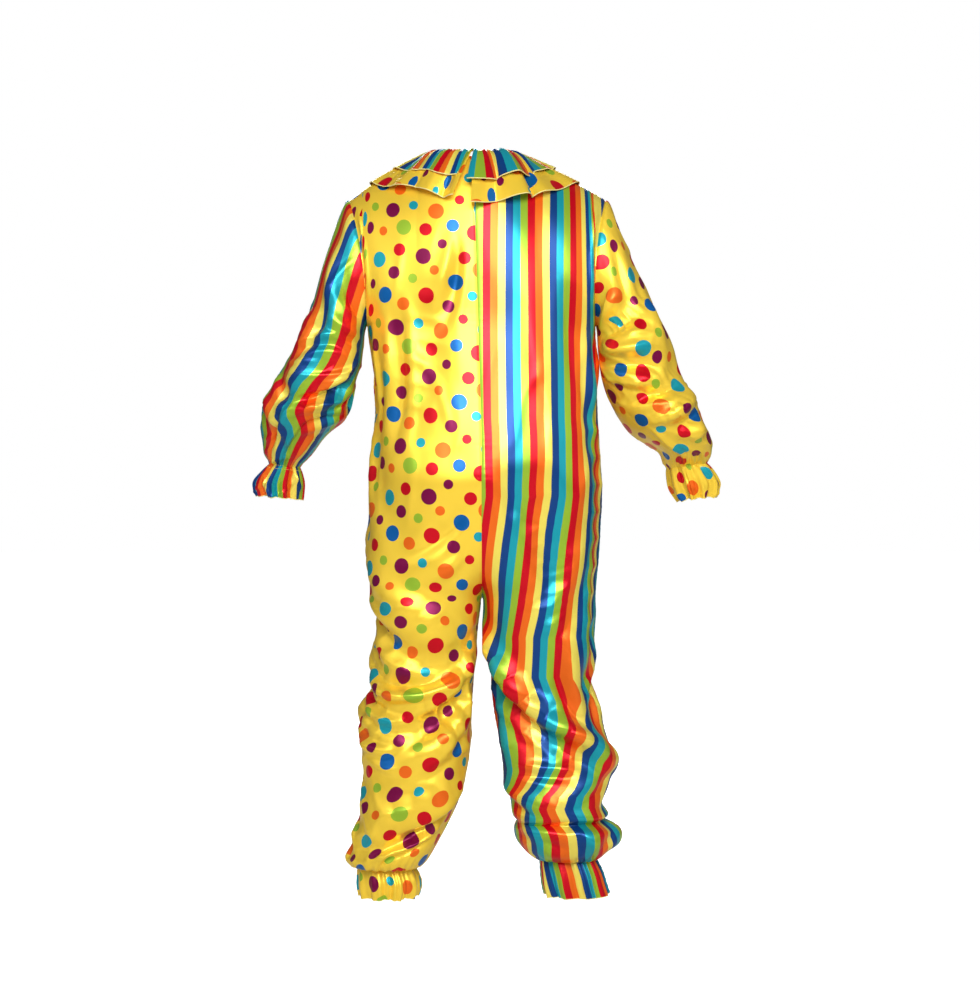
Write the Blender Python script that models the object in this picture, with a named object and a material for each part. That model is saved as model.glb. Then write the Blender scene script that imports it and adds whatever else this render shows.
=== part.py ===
"""A clown's one-piece suit in its worn shape, empty, with nobody in it.

Two printed satins make it: the wearer's left half, right sleeve and lower ruffle are dotted, and the right
half, left sleeve and upper ruffle are striped. Each half of the body is one cut from shoulder to ankle, front
and back, so the suit has four long panels, two sleeves and two neck ruffles.

Metres, +Z up. The wearer faces -Y and their left hand is at +X. The origin is the middle of the shoulder
line, where the wearer carries the suit.
"""

import math
from collections import namedtuple

import bmesh
import bpy
from mathutils import Vector
from mathutils.bvhtree import BVHTree

# Cloth and seams
WALL = 0.0015  # thickness of the cloth with its seam allowances
SEAM_GAP = 0.0004  # between two pieces that are sewn edge to edge
LAP_GAP = WALL + SEAM_GAP  # between the middles of two pieces that lie face to face

# Neck and shoulders
NECK_HALF_WIDTH = 0.085
NECK_BACK = 0.082  # from the shoulder line back to the neckline
NECK_FRONT = 0.078
NECK_BACK_Z = 0.026
NECK_FRONT_Z = -0.045
NECK_POINT_Z = 0.030  # where the shoulder seam meets the neckline
LEFT_SHOULDER_TIP_X = 0.247
RIGHT_SHOULDER_TIP_X = 0.257
SHOULDER_TIP_Z = -0.050
SHOULDER_ROUND = 0.006  # how far the shoulder seam bows up
UNDERARM_Z = -0.300
ARMHOLE_HALF_DEPTH = 0.076
ARMHOLE_DIP = 0.012  # how far the armhole is cut into the panel at its middle
YOKE_ROUND = 2.3  # 2 rounds the panel over the shoulder as an ellipse does, more is squarer
ARMHOLE_REACH = 4  # the armhole's depth fades into the panel with this power

# Body
SQUARENESS = 2.5  # of the level sections: 2 is an ellipse, more is squarer
CROTCH_TOP_Z = -0.700  # where the centre seams start to curve under
CROTCH_Z = -0.835
LEAN = 0.017  # the neck stands this far to the wearer's left of the hips
LEAN_FROM_Z = -0.520

# Mesh rows and columns
PANEL_COLUMNS = 10
NECK_COLUMNS = 4  # of those, the ones that run up to the neckline
SLEEVE_COLUMNS = 20
YOKE_ROWS = 7
ROW_STEP = 0.050  # longest step between rows
RING_SAMPLES = 72

# Gathers at the wrists and ankles
GATHERS = 10  # waves round each cuff
GATHER_AT_ELASTIC = 0.0016
GATHER_AT_HEM = 0.0050

# Ruffles
RUFFLE_FROM = 0.19  # the two sides of the ruffles' gap, as angles from the centre back in radians
RUFFLE_TO = 2 * math.pi + 0.01
RUFFLE_LIFT = 0.0065  # of the lower ruffle's middle over the body
RUFFLE_APART = 0.0030  # between the middles of the two ruffles
RUFFLE_STEP = 0.0220  # between the rows of both ruffles, from the neckline outwards
RUFFLE_COLUMNS = 120
RUFFLE_STAND = 0.002  # how high the ruffles rise beside the neck before they fall
STAND_AT = 0.015  # how far from the neckline they are highest
STAND_WIDTH = 0.022
MARCH_STEP = 0.0044
SMOOTH_FINENESS = 4  # of the smooth body that the ruffles stand out from, against the panels' own rows
EASING_ROUNDS = 8

# Folds
HALF_SPAN = 0.30  # cloth from a centre seam to the side seam, which turns a fold's around into metres
SLEEVE_SPAN = 0.46  # the same round a whole sleeve
FOLD_FADE = 6  # folds run out towards the centre and inner seams, over a sixth of the panel

# The way of a panel's face along Y
BACK = 1
FRONT = -1

# The two prints
DOTTED = ("dotted_satin", (0.93, 0.72, 0.10))
STRIPED = ("striped_satin", (0.80, 0.10, 0.08))
ROUGHNESS = 0.38

Level = namedtuple("Level", "z inner outer back front")
SleeveLevel = namedtuple("SleeveLevel", "outer_x outer_z inner_x inner_z mid_y depth")
Half = namedtuple("Half", "side shoulder_tip_x body cuff folds sleeve wrist sleeve_folds")
Fold = namedtuple("Fold", "around_1 z_1 around_2 z_2 width height sag")
Ruffle = namedtuple("Ruffle", "rows waves wave_height phase")

# Level sections of each half body, from the underarm to just above the ankle elastic: the height, the inner
# and outer side, and how far it reaches back and front. The last two rows are the blouse that hangs over the
# elastic.
LEFT_BODY = [
    Level(UNDERARM_Z, 0.0, 0.219, 0.136, 0.146),
    Level(-0.345, 0.0, 0.217, 0.142, 0.150),
    Level(-0.444, 0.0, 0.208, 0.154, 0.158),
    Level(-0.543, 0.0, 0.218, 0.167, 0.166),
    Level(-0.610, 0.0, 0.220, 0.172, 0.168),
    Level(-0.675, 0.0, 0.222, 0.160, 0.161),
    Level(-0.750, 0.0, 0.221, 0.149, 0.146),
    Level(CROTCH_Z, 0.0, 0.213, 0.138, 0.126),
    Level(-0.880, 0.007, 0.213, 0.131, 0.117),
    Level(-0.938, 0.012, 0.210, 0.122, 0.113),
    Level(-0.997, 0.017, 0.212, 0.113, 0.113),
    Level(-1.036, 0.020, 0.228, 0.111, 0.117),
    Level(-1.076, 0.022, 0.231, 0.113, 0.118),
    Level(-1.135, 0.024, 0.234, 0.119, 0.111),
    Level(-1.194, 0.038, 0.234, 0.122, 0.101),
    Level(-1.234, 0.046, 0.240, 0.120, 0.097),
    Level(-1.273, 0.064, 0.235, 0.115, 0.095),
    Level(-1.313, 0.086, 0.247, 0.112, 0.094),
    Level(-1.343, 0.104, 0.265, 0.104, 0.091),
    Level(-1.358, 0.117, 0.258, 0.092, 0.082),
    Level(-1.3605, 0.127, 0.249, 0.078, 0.072),
]
LEFT_CUFF = [  # from the elastic down to the hem
    Level(-1.354, 0.137, 0.239, 0.060, 0.057),
    Level(-1.369, 0.132, 0.243, 0.063, 0.060),
    Level(-1.387, 0.125, 0.243, 0.068, 0.064),
    Level(-1.403, 0.124, 0.242, 0.069, 0.065),
    Level(-1.420, 0.130, 0.238, 0.066, 0.062),
]
RIGHT_BODY = [
    Level(UNDERARM_Z, 0.0, 0.230, 0.136, 0.146),
    Level(-0.345, 0.0, 0.229, 0.142, 0.150),
    Level(-0.444, 0.0, 0.229, 0.154, 0.158),
    Level(-0.543, 0.0, 0.233, 0.167, 0.166),
    Level(-0.610, 0.0, 0.238, 0.172, 0.168),
    Level(-0.675, 0.0, 0.236, 0.160, 0.161),
    Level(-0.750, 0.0, 0.233, 0.149, 0.146),
    Level(CROTCH_Z, 0.0, 0.224, 0.138, 0.126),
    Level(-0.880, 0.013, 0.230, 0.131, 0.117),
    Level(-0.938, 0.020, 0.227, 0.122, 0.113),
    Level(-0.997, 0.018, 0.211, 0.112, 0.113),
    Level(-1.036, 0.021, 0.216, 0.110, 0.117),
    Level(-1.076, 0.027, 0.226, 0.113, 0.118),
    Level(-1.135, 0.039, 0.247, 0.120, 0.111),
    Level(-1.194, 0.050, 0.242, 0.124, 0.103),
    Level(-1.234, 0.061, 0.236, 0.126, 0.101),
    Level(-1.257, 0.064, 0.248, 0.126, 0.102),
    Level(-1.268, 0.072, 0.236, 0.108, 0.090),
    Level(-1.284, 0.064, 0.266, 0.121, 0.099),
    Level(-1.306, 0.067, 0.266, 0.120, 0.100),
    Level(-1.328, 0.084, 0.248, 0.107, 0.091),
    Level(-1.342, 0.103, 0.232, 0.088, 0.079),
    Level(-1.3445, 0.111, 0.225, 0.076, 0.071),
]
RIGHT_CUFF = [
    Level(-1.338, 0.119, 0.217, 0.061, 0.058),
    Level(-1.353, 0.116, 0.226, 0.064, 0.061),
    Level(-1.375, 0.118, 0.236, 0.067, 0.064),
    Level(-1.397, 0.121, 0.242, 0.069, 0.065),
    Level(-1.417, 0.126, 0.248, 0.069, 0.065),
]

# Slanted sections of the sleeves below the armhole: their outer and inner points as seen from behind, how far
# forward or back their middle lies, and their half depth. The last four rows are the cuff below the elastic.
LEFT_SLEEVE = [
    SleeveLevel(0.274, -0.112, 0.2268, -0.320, 0.000, 0.082),
    SleeveLevel(0.303, -0.180, 0.2292, -0.345, 0.004, 0.084),
    SleeveLevel(0.326, -0.258, 0.2345, -0.376, 0.008, 0.083),
    SleeveLevel(0.356, -0.328, 0.2450, -0.407, 0.008, 0.082),
    SleeveLevel(0.391, -0.388, 0.2510, -0.440, 0.002, 0.082),
    SleeveLevel(0.425, -0.446, 0.2640, -0.472, -0.012, 0.084),
    SleeveLevel(0.437, -0.500, 0.3050, -0.506, -0.035, 0.079),
    SleeveLevel(0.437, -0.541, 0.3370, -0.545, -0.060, 0.066),
    SleeveLevel(0.429, -0.562, 0.3600, -0.568, -0.074, 0.048),
]
LEFT_WRIST = [
    SleeveLevel(0.426, -0.570, 0.3680, -0.577, -0.080, 0.036),
    SleeveLevel(0.440, -0.584, 0.3640, -0.590, -0.086, 0.041),
    SleeveLevel(0.457, -0.608, 0.3620, -0.612, -0.094, 0.047),
    SleeveLevel(0.450, -0.632, 0.3670, -0.641, -0.101, 0.048),
]
RIGHT_SLEEVE = [
    SleeveLevel(0.284, -0.112, 0.2345, -0.320, 0.000, 0.082),
    SleeveLevel(0.310, -0.180, 0.2350, -0.348, 0.004, 0.084),
    SleeveLevel(0.342, -0.250, 0.2370, -0.383, 0.008, 0.085),
    SleeveLevel(0.375, -0.322, 0.2420, -0.412, 0.008, 0.085),
    SleeveLevel(0.396, -0.390, 0.2530, -0.444, 0.002, 0.085),
    SleeveLevel(0.427, -0.460, 0.2750, -0.484, -0.012, 0.085),
    SleeveLevel(0.454, -0.518, 0.3010, -0.515, -0.035, 0.079),
    SleeveLevel(0.458, -0.545, 0.3520, -0.546, -0.060, 0.066),
    SleeveLevel(0.454, -0.560, 0.3640, -0.568, -0.074, 0.050),
]
RIGHT_WRIST = [
    SleeveLevel(0.450, -0.568, 0.3720, -0.578, -0.080, 0.038),
    SleeveLevel(0.464, -0.584, 0.3730, -0.592, -0.086, 0.043),
    SleeveLevel(0.477, -0.610, 0.3800, -0.618, -0.094, 0.048),
    SleeveLevel(0.467, -0.634, 0.3980, -0.642, -0.101, 0.048),
]

# Folds that stand out from (+) or into (-) a half body. Around is 0 at the centre or inner seam of the back,
# 1 at the side seam and 2 at the centre or inner seam of the front. Sag lets the middle hang below its ends.
LEFT_FOLDS = [
    Fold(0.95, -0.360, 0.70, -0.640, 0.034, -0.009, 0.0),
    Fold(0.20, -0.150, 0.45, -0.480, 0.040, -0.007, 0.0),
    Fold(1.00, -0.720, 0.45, -0.900, 0.034, 0.010, 0.0),
    Fold(0.98, -0.860, 0.10, -0.900, 0.034, -0.010, 0.075),
    Fold(0.98, -0.960, 0.08, -0.940, 0.034, 0.011, 0.075),
    Fold(0.98, -1.010, 0.10, -1.000, 0.034, -0.012, 0.070),
    Fold(0.98, -1.055, 0.15, -1.040, 0.034, 0.010, 0.060),
    Fold(0.90, -1.300, 0.10, -1.190, 0.034, 0.011, 0.0),
    Fold(0.70, -1.330, 0.05, -1.250, 0.034, -0.010, 0.0),
    Fold(1.15, -0.900, 1.85, -0.960, 0.034, -0.009, 0.050),
    Fold(1.10, -1.060, 1.80, -1.090, 0.034, 0.010, 0.040),
    Fold(1.10, -1.250, 1.75, -1.310, 0.034, -0.009, 0.0),
    Fold(1.75, -0.350, 1.45, -0.700, 0.040, -0.008, 0.0),
]
RIGHT_FOLDS = [
    Fold(0.80, -0.480, 0.86, -0.900, 0.034, -0.012, 0.0),
    Fold(0.30, -0.620, 0.55, -0.860, 0.040, -0.008, 0.0),
    Fold(0.02, -0.900, 0.86, -1.150, 0.034, 0.013, 0.020),
    Fold(0.02, -0.960, 0.60, -1.160, 0.034, -0.013, 0.020),
    Fold(0.90, -0.900, 0.75, -1.120, 0.034, -0.010, 0.0),
    Fold(1.00, -1.030, 1.05, -1.180, 0.034, 0.008, 0.0),
    Fold(0.20, -1.120, 0.12, -1.240, 0.034, 0.010, 0.0),
    Fold(0.85, -1.180, 0.35, -1.250, 0.034, 0.008, 0.0),
    Fold(1.15, -0.900, 1.85, -0.960, 0.034, -0.009, 0.050),
    Fold(1.10, -1.060, 1.80, -1.090, 0.034, 0.010, 0.040),
    Fold(1.15, -1.200, 1.75, -1.240, 0.034, -0.008, 0.0),
    Fold(1.75, -0.350, 1.45, -0.700, 0.040, -0.008, 0.0),
]
# The same for a sleeve, where around is 0 at the underarm seam, 0.5 at the outer side and 1 at the seam
# again, with the back between 0 and 0.5.
LEFT_SLEEVE_FOLDS = [
    Fold(0.02, -0.452, 0.36, -0.440, 0.022, -0.012, 0.0),
    Fold(0.02, -0.490, 0.30, -0.474, 0.022, 0.008, 0.0),
    Fold(0.42, -0.300, 0.30, -0.440, 0.024, 0.009, 0.0),
    Fold(0.40, -0.490, 0.22, -0.545, 0.022, -0.008, 0.0),
    Fold(0.90, -0.400, 0.60, -0.430, 0.022, -0.009, 0.0),
]
RIGHT_SLEEVE_FOLDS = [
    Fold(0.10, -0.330, 0.40, -0.240, 0.022, -0.008, 0.0),
    Fold(0.06, -0.440, 0.40, -0.380, 0.024, -0.009, 0.0),
    Fold(0.15, -0.520, 0.42, -0.440, 0.024, 0.009, 0.0),
    Fold(0.90, -0.400, 0.60, -0.430, 0.022, -0.009, 0.0),
]
LEFT = Half(
    1, LEFT_SHOULDER_TIP_X, LEFT_BODY, LEFT_CUFF, LEFT_FOLDS, LEFT_SLEEVE, LEFT_WRIST, LEFT_SLEEVE_FOLDS
)
RIGHT = Half(
    -1,
    RIGHT_SHOULDER_TIP_X,
    RIGHT_BODY,
    RIGHT_CUFF,
    RIGHT_FOLDS,
    RIGHT_SLEEVE,
    RIGHT_WRIST,
    RIGHT_SLEEVE_FOLDS,
)

LOWER_RUFFLE = Ruffle(rows=5, waves=20, wave_height=0.018, phase=0.6)
UPPER_RUFFLE = Ruffle(rows=3, waves=20, wave_height=0.009, phase=2.2)


def blend(low, high, share):
    return low + (high - low) * share


def spline(before, start, end, after, share):
    """A value on the Catmull-Rom curve from start to end."""
    return 0.5 * (
        2 * start
        + (end - before) * share
        + (2 * before - 5 * start + 4 * end - after) * share**2
        + (3 * start - before - 3 * end + after) * share**3
    )


def between(rows, index, share):
    """The table row a share of the way from rows[index] to the next, every column on a smooth curve."""
    before = rows[max(index - 1, 0)]
    after = rows[min(index + 2, len(rows) - 1)]
    columns = zip(before, rows[index], rows[index + 1], after)
    return type(rows[0])(*(spline(*column, share) for column in columns))


def spread(rows, outer, step):
    """Table rows with more between them, so that their outer points are at most a step apart."""
    found = []
    for index in range(len(rows) - 1):
        far = (Vector(outer(rows[index + 1])) - Vector(outer(rows[index]))).length
        parts = max(1, math.ceil(far / step))
        found += [between(rows, index, part / parts) for part in range(parts)]
    return found + [rows[-1]]


def along_arc(points, count, start_gap, end_gap):
    """count + 1 points spread evenly along a line of points, clear of its ends by the gaps."""
    runs = [0.0]
    for first, second in zip(points, points[1:]):
        runs.append(runs[-1] + (second - first).length)
    found = []
    at = 1
    for index in range(count + 1):
        goal = start_gap + (runs[-1] - start_gap - end_gap) * index / count
        while at < len(points) - 1 and runs[at] < goal:
            at += 1
        share = (goal - runs[at - 1]) / max(runs[at] - runs[at - 1], 1e-9)
        found.append(points[at - 1].lerp(points[at], share))
    return found


def fold_height(folds, around, z, span):
    """How far the folds move the cloth out at this place."""
    total = 0.0
    for fold in folds:
        nearest = math.inf
        for part in range(9):
            share = part / 8
            across = (around - blend(fold.around_1, fold.around_2, share)) * span
            up = z - blend(fold.z_1, fold.z_2, share) + fold.sag * 4 * share * (1 - share)
            nearest = min(nearest, across * across + up * up)
        total += fold.height * math.exp(-nearest / fold.width**2)
    return total


def gather(turn, height):
    """The push of one gathered cuff, at a share of a turn round it."""
    return height * math.cos(2 * math.pi * GATHERS * turn)


def half_row(level, side, face, columns, folds, gather_height=0.0):
    """One level row of a panel, from its centre or inner seam to the side seam. Side is 1 for the wearer's
    left and -1 for the right, and face is 1 for the back and -1 for the front."""
    closing = min(max((CROTCH_TOP_Z - level.z) / (CROTCH_TOP_Z - CROTCH_Z), 0.0), 1.0)
    inner = max(level.inner, closing * (WALL / 2 + SEAM_GAP))
    half_width = (level.outer - inner) / (1 + closing)
    middle = level.outer - half_width
    depth = level.back if face > 0 else level.front
    first = math.acos(closing ** (SQUARENESS / 2))
    arc = []
    for sample in range(RING_SAMPLES + 1):
        angle = blend(first, math.pi, sample / RING_SAMPLES)
        across = math.copysign(abs(math.cos(angle)) ** (2 / SQUARENESS), math.cos(angle))
        back = abs(math.sin(angle)) ** (2 / SQUARENESS)
        arc.append(Vector((middle - half_width * across, face * depth * back, level.z)))
    row = along_arc(arc, columns, SEAM_GAP / 2, SEAM_GAP / 2)
    for column, point in enumerate(row):
        share = column / columns
        around = share if face > 0 else 2 - share
        out = Vector((point.x - middle, point.y, 0)).normalized()
        fade = min(1.0, FOLD_FADE * share)
        push = fold_height(folds, around, level.z, HALF_SPAN) * fade + gather(around / 2, gather_height)
        point += out * push
        point.x = max(point.x, SEAM_GAP / 2) * side
    return row


def neck_or_shoulder(half, face, share):
    """The top edge of a panel: the neckline, and then the shoulder seam out to its tip."""
    neck_share = NECK_COLUMNS / PANEL_COLUMNS
    depth = NECK_BACK if face > 0 else NECK_FRONT
    centre_z = NECK_BACK_Z if face > 0 else NECK_FRONT_Z
    if share < neck_share:
        angle = math.pi / 2 * share / neck_share
        return Vector(
            (
                blend(SEAM_GAP / 2, NECK_HALF_WIDTH, math.sin(angle)),
                face * (SEAM_GAP / 2 + depth * math.cos(angle)),
                blend(centre_z, NECK_POINT_Z, math.sin(angle) ** 2),
            )
        )
    out = (share - neck_share) / (1 - neck_share)
    rise = SHOULDER_ROUND * math.sin(math.pi * out)
    x = blend(NECK_HALF_WIDTH, half.shoulder_tip_x, out)
    return Vector((x, face * SEAM_GAP / 2, blend(NECK_POINT_Z, SHOULDER_TIP_Z, out) + rise))


def armhole(half, face, height):
    """A point of the armhole's edge, a share of the way up from the underarm to the shoulder tip."""
    swing = 2 * math.sqrt(max(height * (1 - height), 0.0))
    return Vector(
        (
            blend(half.body[0].outer, half.shoulder_tip_x, height) - ARMHOLE_DIP * swing**2,
            face * (SEAM_GAP / 2 + ARMHOLE_HALF_DEPTH * swing),
            blend(UNDERARM_Z, SHOULDER_TIP_Z, height),
        )
    )


def yoke_rows(half, face, fineness=1):
    """The rows of a panel from its shoulder and neckline down to just above the underarm."""
    columns = PANEL_COLUMNS * fineness
    bottom = half_row(half.body[0], 1, face, columns, [])
    tip = neck_or_shoulder(half, face, 1.0)
    rows = []
    for row_index in range(YOKE_ROWS * fineness):
        angle = math.pi / 2 * (1 - row_index / (YOKE_ROWS * fineness))
        inward = 1 - math.cos(angle) ** (2 / YOKE_ROUND)
        height = math.sin(angle) ** (2 / YOKE_ROUND)
        row = []
        for column in range(columns + 1):
            share = column / columns
            top = neck_or_shoulder(half, face, share)
            point = Vector(
                (
                    blend(bottom[column].x, top.x, inward),
                    blend(bottom[column].y, top.y, inward),
                    blend(bottom[column].z, top.z, height),
                )
            )
            plain_edge = Vector(
                (
                    blend(bottom[-1].x, tip.x, inward),
                    blend(bottom[-1].y, tip.y, inward),
                    blend(bottom[-1].z, tip.z, height),
                )
            )
            point += (armhole(half, face, height) - plain_edge) * share**ARMHOLE_REACH
            point.x *= half.side
            row.append(point)
        rows.append(row)
    return rows


def panel_rows(half, face):
    """All rows of one long panel, from the shoulder to the ankle hem."""
    rows = yoke_rows(half, face)
    for level in spread(half.body, lambda row: (row.outer, row.z), ROW_STEP):
        rows.append(half_row(level, half.side, face, PANEL_COLUMNS, half.folds))
    for index, level in enumerate(half.cuff):
        height = blend(GATHER_AT_ELASTIC, GATHER_AT_HEM, index / (len(half.cuff) - 1))
        rows.append(half_row(level, half.side, face, 2 * PANEL_COLUMNS, [], height))
    return rows


def sleeve_ring(level, side, columns, folds, gather_height=0.0):
    """One ring of a sleeve, from the underarm seam round the back."""
    outer = Vector((level.outer_x, 0, level.outer_z))
    inner = Vector((level.inner_x, 0, level.inner_z))
    middle = (outer + inner) / 2
    reach = (inner - outer) / 2
    ring = []
    for column in range(columns):
        turn = column / columns
        angle = 2 * math.pi * turn
        spoke = reach * math.cos(angle) + Vector((0, level.depth * math.sin(angle), 0))
        height = middle.z + reach.z * math.cos(angle)
        push = fold_height(folds, turn, height, SLEEVE_SPAN) + gather(turn, gather_height)
        point = middle + Vector((0, level.mid_y, 0)) + spoke + spoke.normalized() * push
        ring.append(Vector((point.x * side, point.y, point.z)))
    return ring


def armhole_ring(half):
    """The sleeve's first ring. It lies beside the panel's wall at the underarm, and end to end with it on
    top."""
    ring = []
    for column in range(SLEEVE_COLUMNS):
        angle = 2 * math.pi * column / SLEEVE_COLUMNS
        height = (1 - math.cos(angle)) / 2
        face = 1 if math.sin(angle) >= 0 else -1
        point = armhole(half, face, height)
        clear = blend(LAP_GAP + SEAM_GAP, 2 * SEAM_GAP, height)
        ring.append(Vector(((point.x + clear) * half.side, point.y, point.z)))
    return ring


def sleeve_rows(half):
    """All rings of one sleeve, from the armhole to the wrist hem."""
    rows = [armhole_ring(half)]
    for level in spread(half.sleeve, lambda row: (row.outer_x, row.outer_z), ROW_STEP):
        rows.append(sleeve_ring(level, half.side, SLEEVE_COLUMNS, half.sleeve_folds))
    for index, level in enumerate(half.wrist):
        height = blend(GATHER_AT_ELASTIC, GATHER_AT_HEM, index / (len(half.wrist) - 1))
        rows.append(sleeve_ring(level, half.side, 2 * SLEEVE_COLUMNS, [], height))
    return rows


def body_surface(fineness):
    """The body above the chest as one surface, with no seams or sleeves."""
    points = []
    faces = []
    columns = PANEL_COLUMNS * fineness
    for half in (LEFT, RIGHT):
        for face in (BACK, FRONT):
            rows = yoke_rows(half, face, fineness)
            rows += [half_row(level, half.side, face, columns, []) for level in half.body[:2]]
            first = len(points)
            points += [point for row in rows for point in row]
            for corners in skin_faces(rows, closed=False):
                faces.append([first + index for index in corners[:: half.side * face]])
    return BVHTree.FromPolygons(points, faces)


def laid_path(panels, smooth, angle, length):
    """Places from the neckline out over the shoulders, a step apart: points on the panels as they are built,
    and the way out from the smooth body there."""
    face = 1 if math.cos(angle) >= 0 else -1
    depth = NECK_BACK if face > 0 else NECK_FRONT
    centre_z = NECK_BACK_Z if face > 0 else NECK_FRONT_Z
    heading = Vector((math.sin(angle), math.cos(angle), 0))
    neck_z = blend(centre_z, NECK_POINT_Z, math.sin(angle) ** 2)
    point = Vector((NECK_HALF_WIDTH * heading.x, depth * heading.y, neck_z))
    places = []
    for _ in range(round(length / MARCH_STEP) + 1):
        nearest = panels.find_nearest(point)[0]
        normal = smooth.find_nearest(point)[1]
        places.append((nearest, normal))
        heading = (heading - normal * heading.dot(normal)).normalized()
        point = nearest + heading * MARCH_STEP
    return places


def eased(vectors):
    """A row of vectors, each drawn towards its neighbours, so that none turns sharply from the next."""
    for _ in range(EASING_ROUNDS):
        ends = [vectors[0], *vectors, vectors[-1]]
        vectors = [(before + 2 * here + after) / 4 for before, here, after in zip(ends, ends[1:], ends[2:])]
    return vectors


def wave_lift(ruffle, angle, distance):
    """How far a ruffle stands off what it lies on: its waves grow from the neckline to its outer edge."""
    wave = 0.5 + 0.5 * math.cos(ruffle.waves * angle + ruffle.phase)
    uneven = 0.8 + 0.2 * math.cos(3 * angle + ruffle.phase)
    return ruffle.wave_height * wave * uneven * distance / (ruffle.rows * RUFFLE_STEP)


def ruffle_rows(panels, smooth, ruffle, under=None):
    """Rows of a ruffle from its neck edge to its outer edge, each once round from one side of the opening to
    the other. It lies on the body, or on the ruffle under it."""
    turns = [column / RUFFLE_COLUMNS for column in range(RUFFLE_COLUMNS + 1)]
    angles = [blend(RUFFLE_FROM, RUFFLE_TO, turn) for turn in turns]
    paths = [laid_path(panels, smooth, angle, ruffle.rows * RUFFLE_STEP) for angle in angles]
    rows = []
    for index in range(ruffle.rows + 1):
        distance = index * RUFFLE_STEP
        places = [path[round(distance / MARCH_STEP)] for path in paths]
        spots = eased([place for place, _ in places])
        ways = eased([way for _, way in places])
        stand = RUFFLE_STAND * math.exp(-(((distance - STAND_AT) / STAND_WIDTH) ** 2))
        row = []
        for angle, spot, way in zip(angles, spots, ways):
            lift = RUFFLE_LIFT + wave_lift(ruffle, angle, distance)
            if under:
                lift += RUFFLE_APART + wave_lift(under, angle, distance)
            row.append(spot + way.normalized() * lift + Vector((0, 0, stand)))
        rows.append(row)
    return rows


def leaned(point):
    """The upper body's small lean to the wearer's left."""
    share = max((point.z - LEAN_FROM_Z) / (NECK_POINT_Z - LEAN_FROM_Z), 0.0)
    return Vector((point.x + LEAN * share, point.y, point.z))


def skin_faces(rows, closed):
    """Faces between rows of points. Where a row has twice the columns of the one before, faces are split."""
    faces = []
    start = 0
    for upper, lower in zip(rows, rows[1:]):
        below = start + len(upper)
        columns = len(upper) if closed else len(upper) - 1
        doubled = len(lower) > len(upper)
        for column in range(columns):
            first = start + column
            second = start + (column + 1) % len(upper)
            if doubled:
                left = below + 2 * column
                middle = left + 1
                right = below + (2 * column + 2) % len(lower)
                faces += [(first, middle, left), (first, second, middle), (second, right, middle)]
            else:
                left = below + column
                right = below + (column + 1) % len(lower)
                faces.append((first, second, right, left))
        start = below
    return faces


def satin(print_name, colour):
    material = bpy.data.materials.new(print_name)
    material.use_nodes = True
    shader = material.node_tree.nodes["Principled BSDF"]
    shader.inputs["Base Color"].default_value = (*colour, 1.0)
    shader.inputs["Roughness"].default_value = ROUGHNESS
    return material


def squared_off(point, normal):
    """The way the wall grows at a point. Along a seam it stays in the seam's own plane, clear of the next
    piece."""
    if abs(point.x) < SEAM_GAP:
        normal.x = 0
    if abs(point.y) < SEAM_GAP:
        normal.y = 0
    return normal.normalized()


def cloth(name, rows, material, closed=False):
    """A piece of cloth through rows of points down its middle, with half its wall on each side of them. Both
    skins have the same triangles, so that they stay a wall apart."""
    shape = bmesh.new()
    points = [point for row in rows for point in row]
    middle = [shape.verts.new(point) for point in points]
    for corners in skin_faces(rows, closed):
        shape.faces.new([middle[index] for index in corners])
    bmesh.ops.triangulate(shape, faces=shape.faces, quad_method="SHORT_EDGE")
    shape.verts.index_update()
    shape.normal_update()
    skin = [[vert.index for vert in face.verts] for face in shape.faces]
    rim = [[vert.index for vert in edge.verts] for edge in shape.edges if edge.is_boundary]
    ways = [squared_off(point, vert.normal.copy()) for point, vert in zip(points, middle)]
    outer = [shape.verts.new(leaned(point + way * WALL / 2)) for point, way in zip(points, ways)]
    inner = [shape.verts.new(leaned(point - way * WALL / 2)) for point, way in zip(points, ways)]
    for corners in skin:
        shape.faces.new([outer[index] for index in corners])
        shape.faces.new([inner[index] for index in reversed(corners)])
    for first, second in rim:
        shape.faces.new([outer[first], outer[second], inner[second], inner[first]])
    bmesh.ops.delete(shape, geom=middle, context="VERTS")
    bmesh.ops.recalc_face_normals(shape, faces=shape.faces)
    mesh = bpy.data.meshes.new(name)
    shape.to_mesh(mesh)
    shape.free()
    mesh.materials.append(material)
    mesh.shade_smooth()
    piece = bpy.data.objects.new(name, mesh)
    bpy.context.scene.collection.objects.link(piece)


def build():
    for obj in list(bpy.data.objects):
        bpy.data.objects.remove(obj, do_unlink=True)
    dotted = satin(*DOTTED)
    striped = satin(*STRIPED)
    cloth("back_left", panel_rows(LEFT, BACK), dotted)
    cloth("front_left", panel_rows(LEFT, FRONT), dotted)
    cloth("back_right", panel_rows(RIGHT, BACK), striped)
    cloth("front_right", panel_rows(RIGHT, FRONT), striped)
    cloth("sleeve_left", sleeve_rows(LEFT), striped, closed=True)
    cloth("sleeve_right", sleeve_rows(RIGHT), dotted, closed=True)
    panels = body_surface(1)
    smooth = body_surface(SMOOTH_FINENESS)
    cloth("ruffle_lower", ruffle_rows(panels, smooth, LOWER_RUFFLE), dotted)
    cloth("ruffle_upper", ruffle_rows(panels, smooth, UPPER_RUFFLE, LOWER_RUFFLE), striped)


build()
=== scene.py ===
"""A clown's one-piece suit in two printed satins, worn and empty, dressed on its frame.

Every piece is cut, printed and draped here: four long panels, two sleeves and two neck ruffles, with their
seams, gathers, rolled edges and stitching. Metres, +Z up. The wearer faces -Y and their left hand is at +X.
"""

import math
import random
from collections import namedtuple

import bpy
import numpy as np
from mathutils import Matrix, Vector
from mathutils.bvhtree import BVHTree


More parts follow.
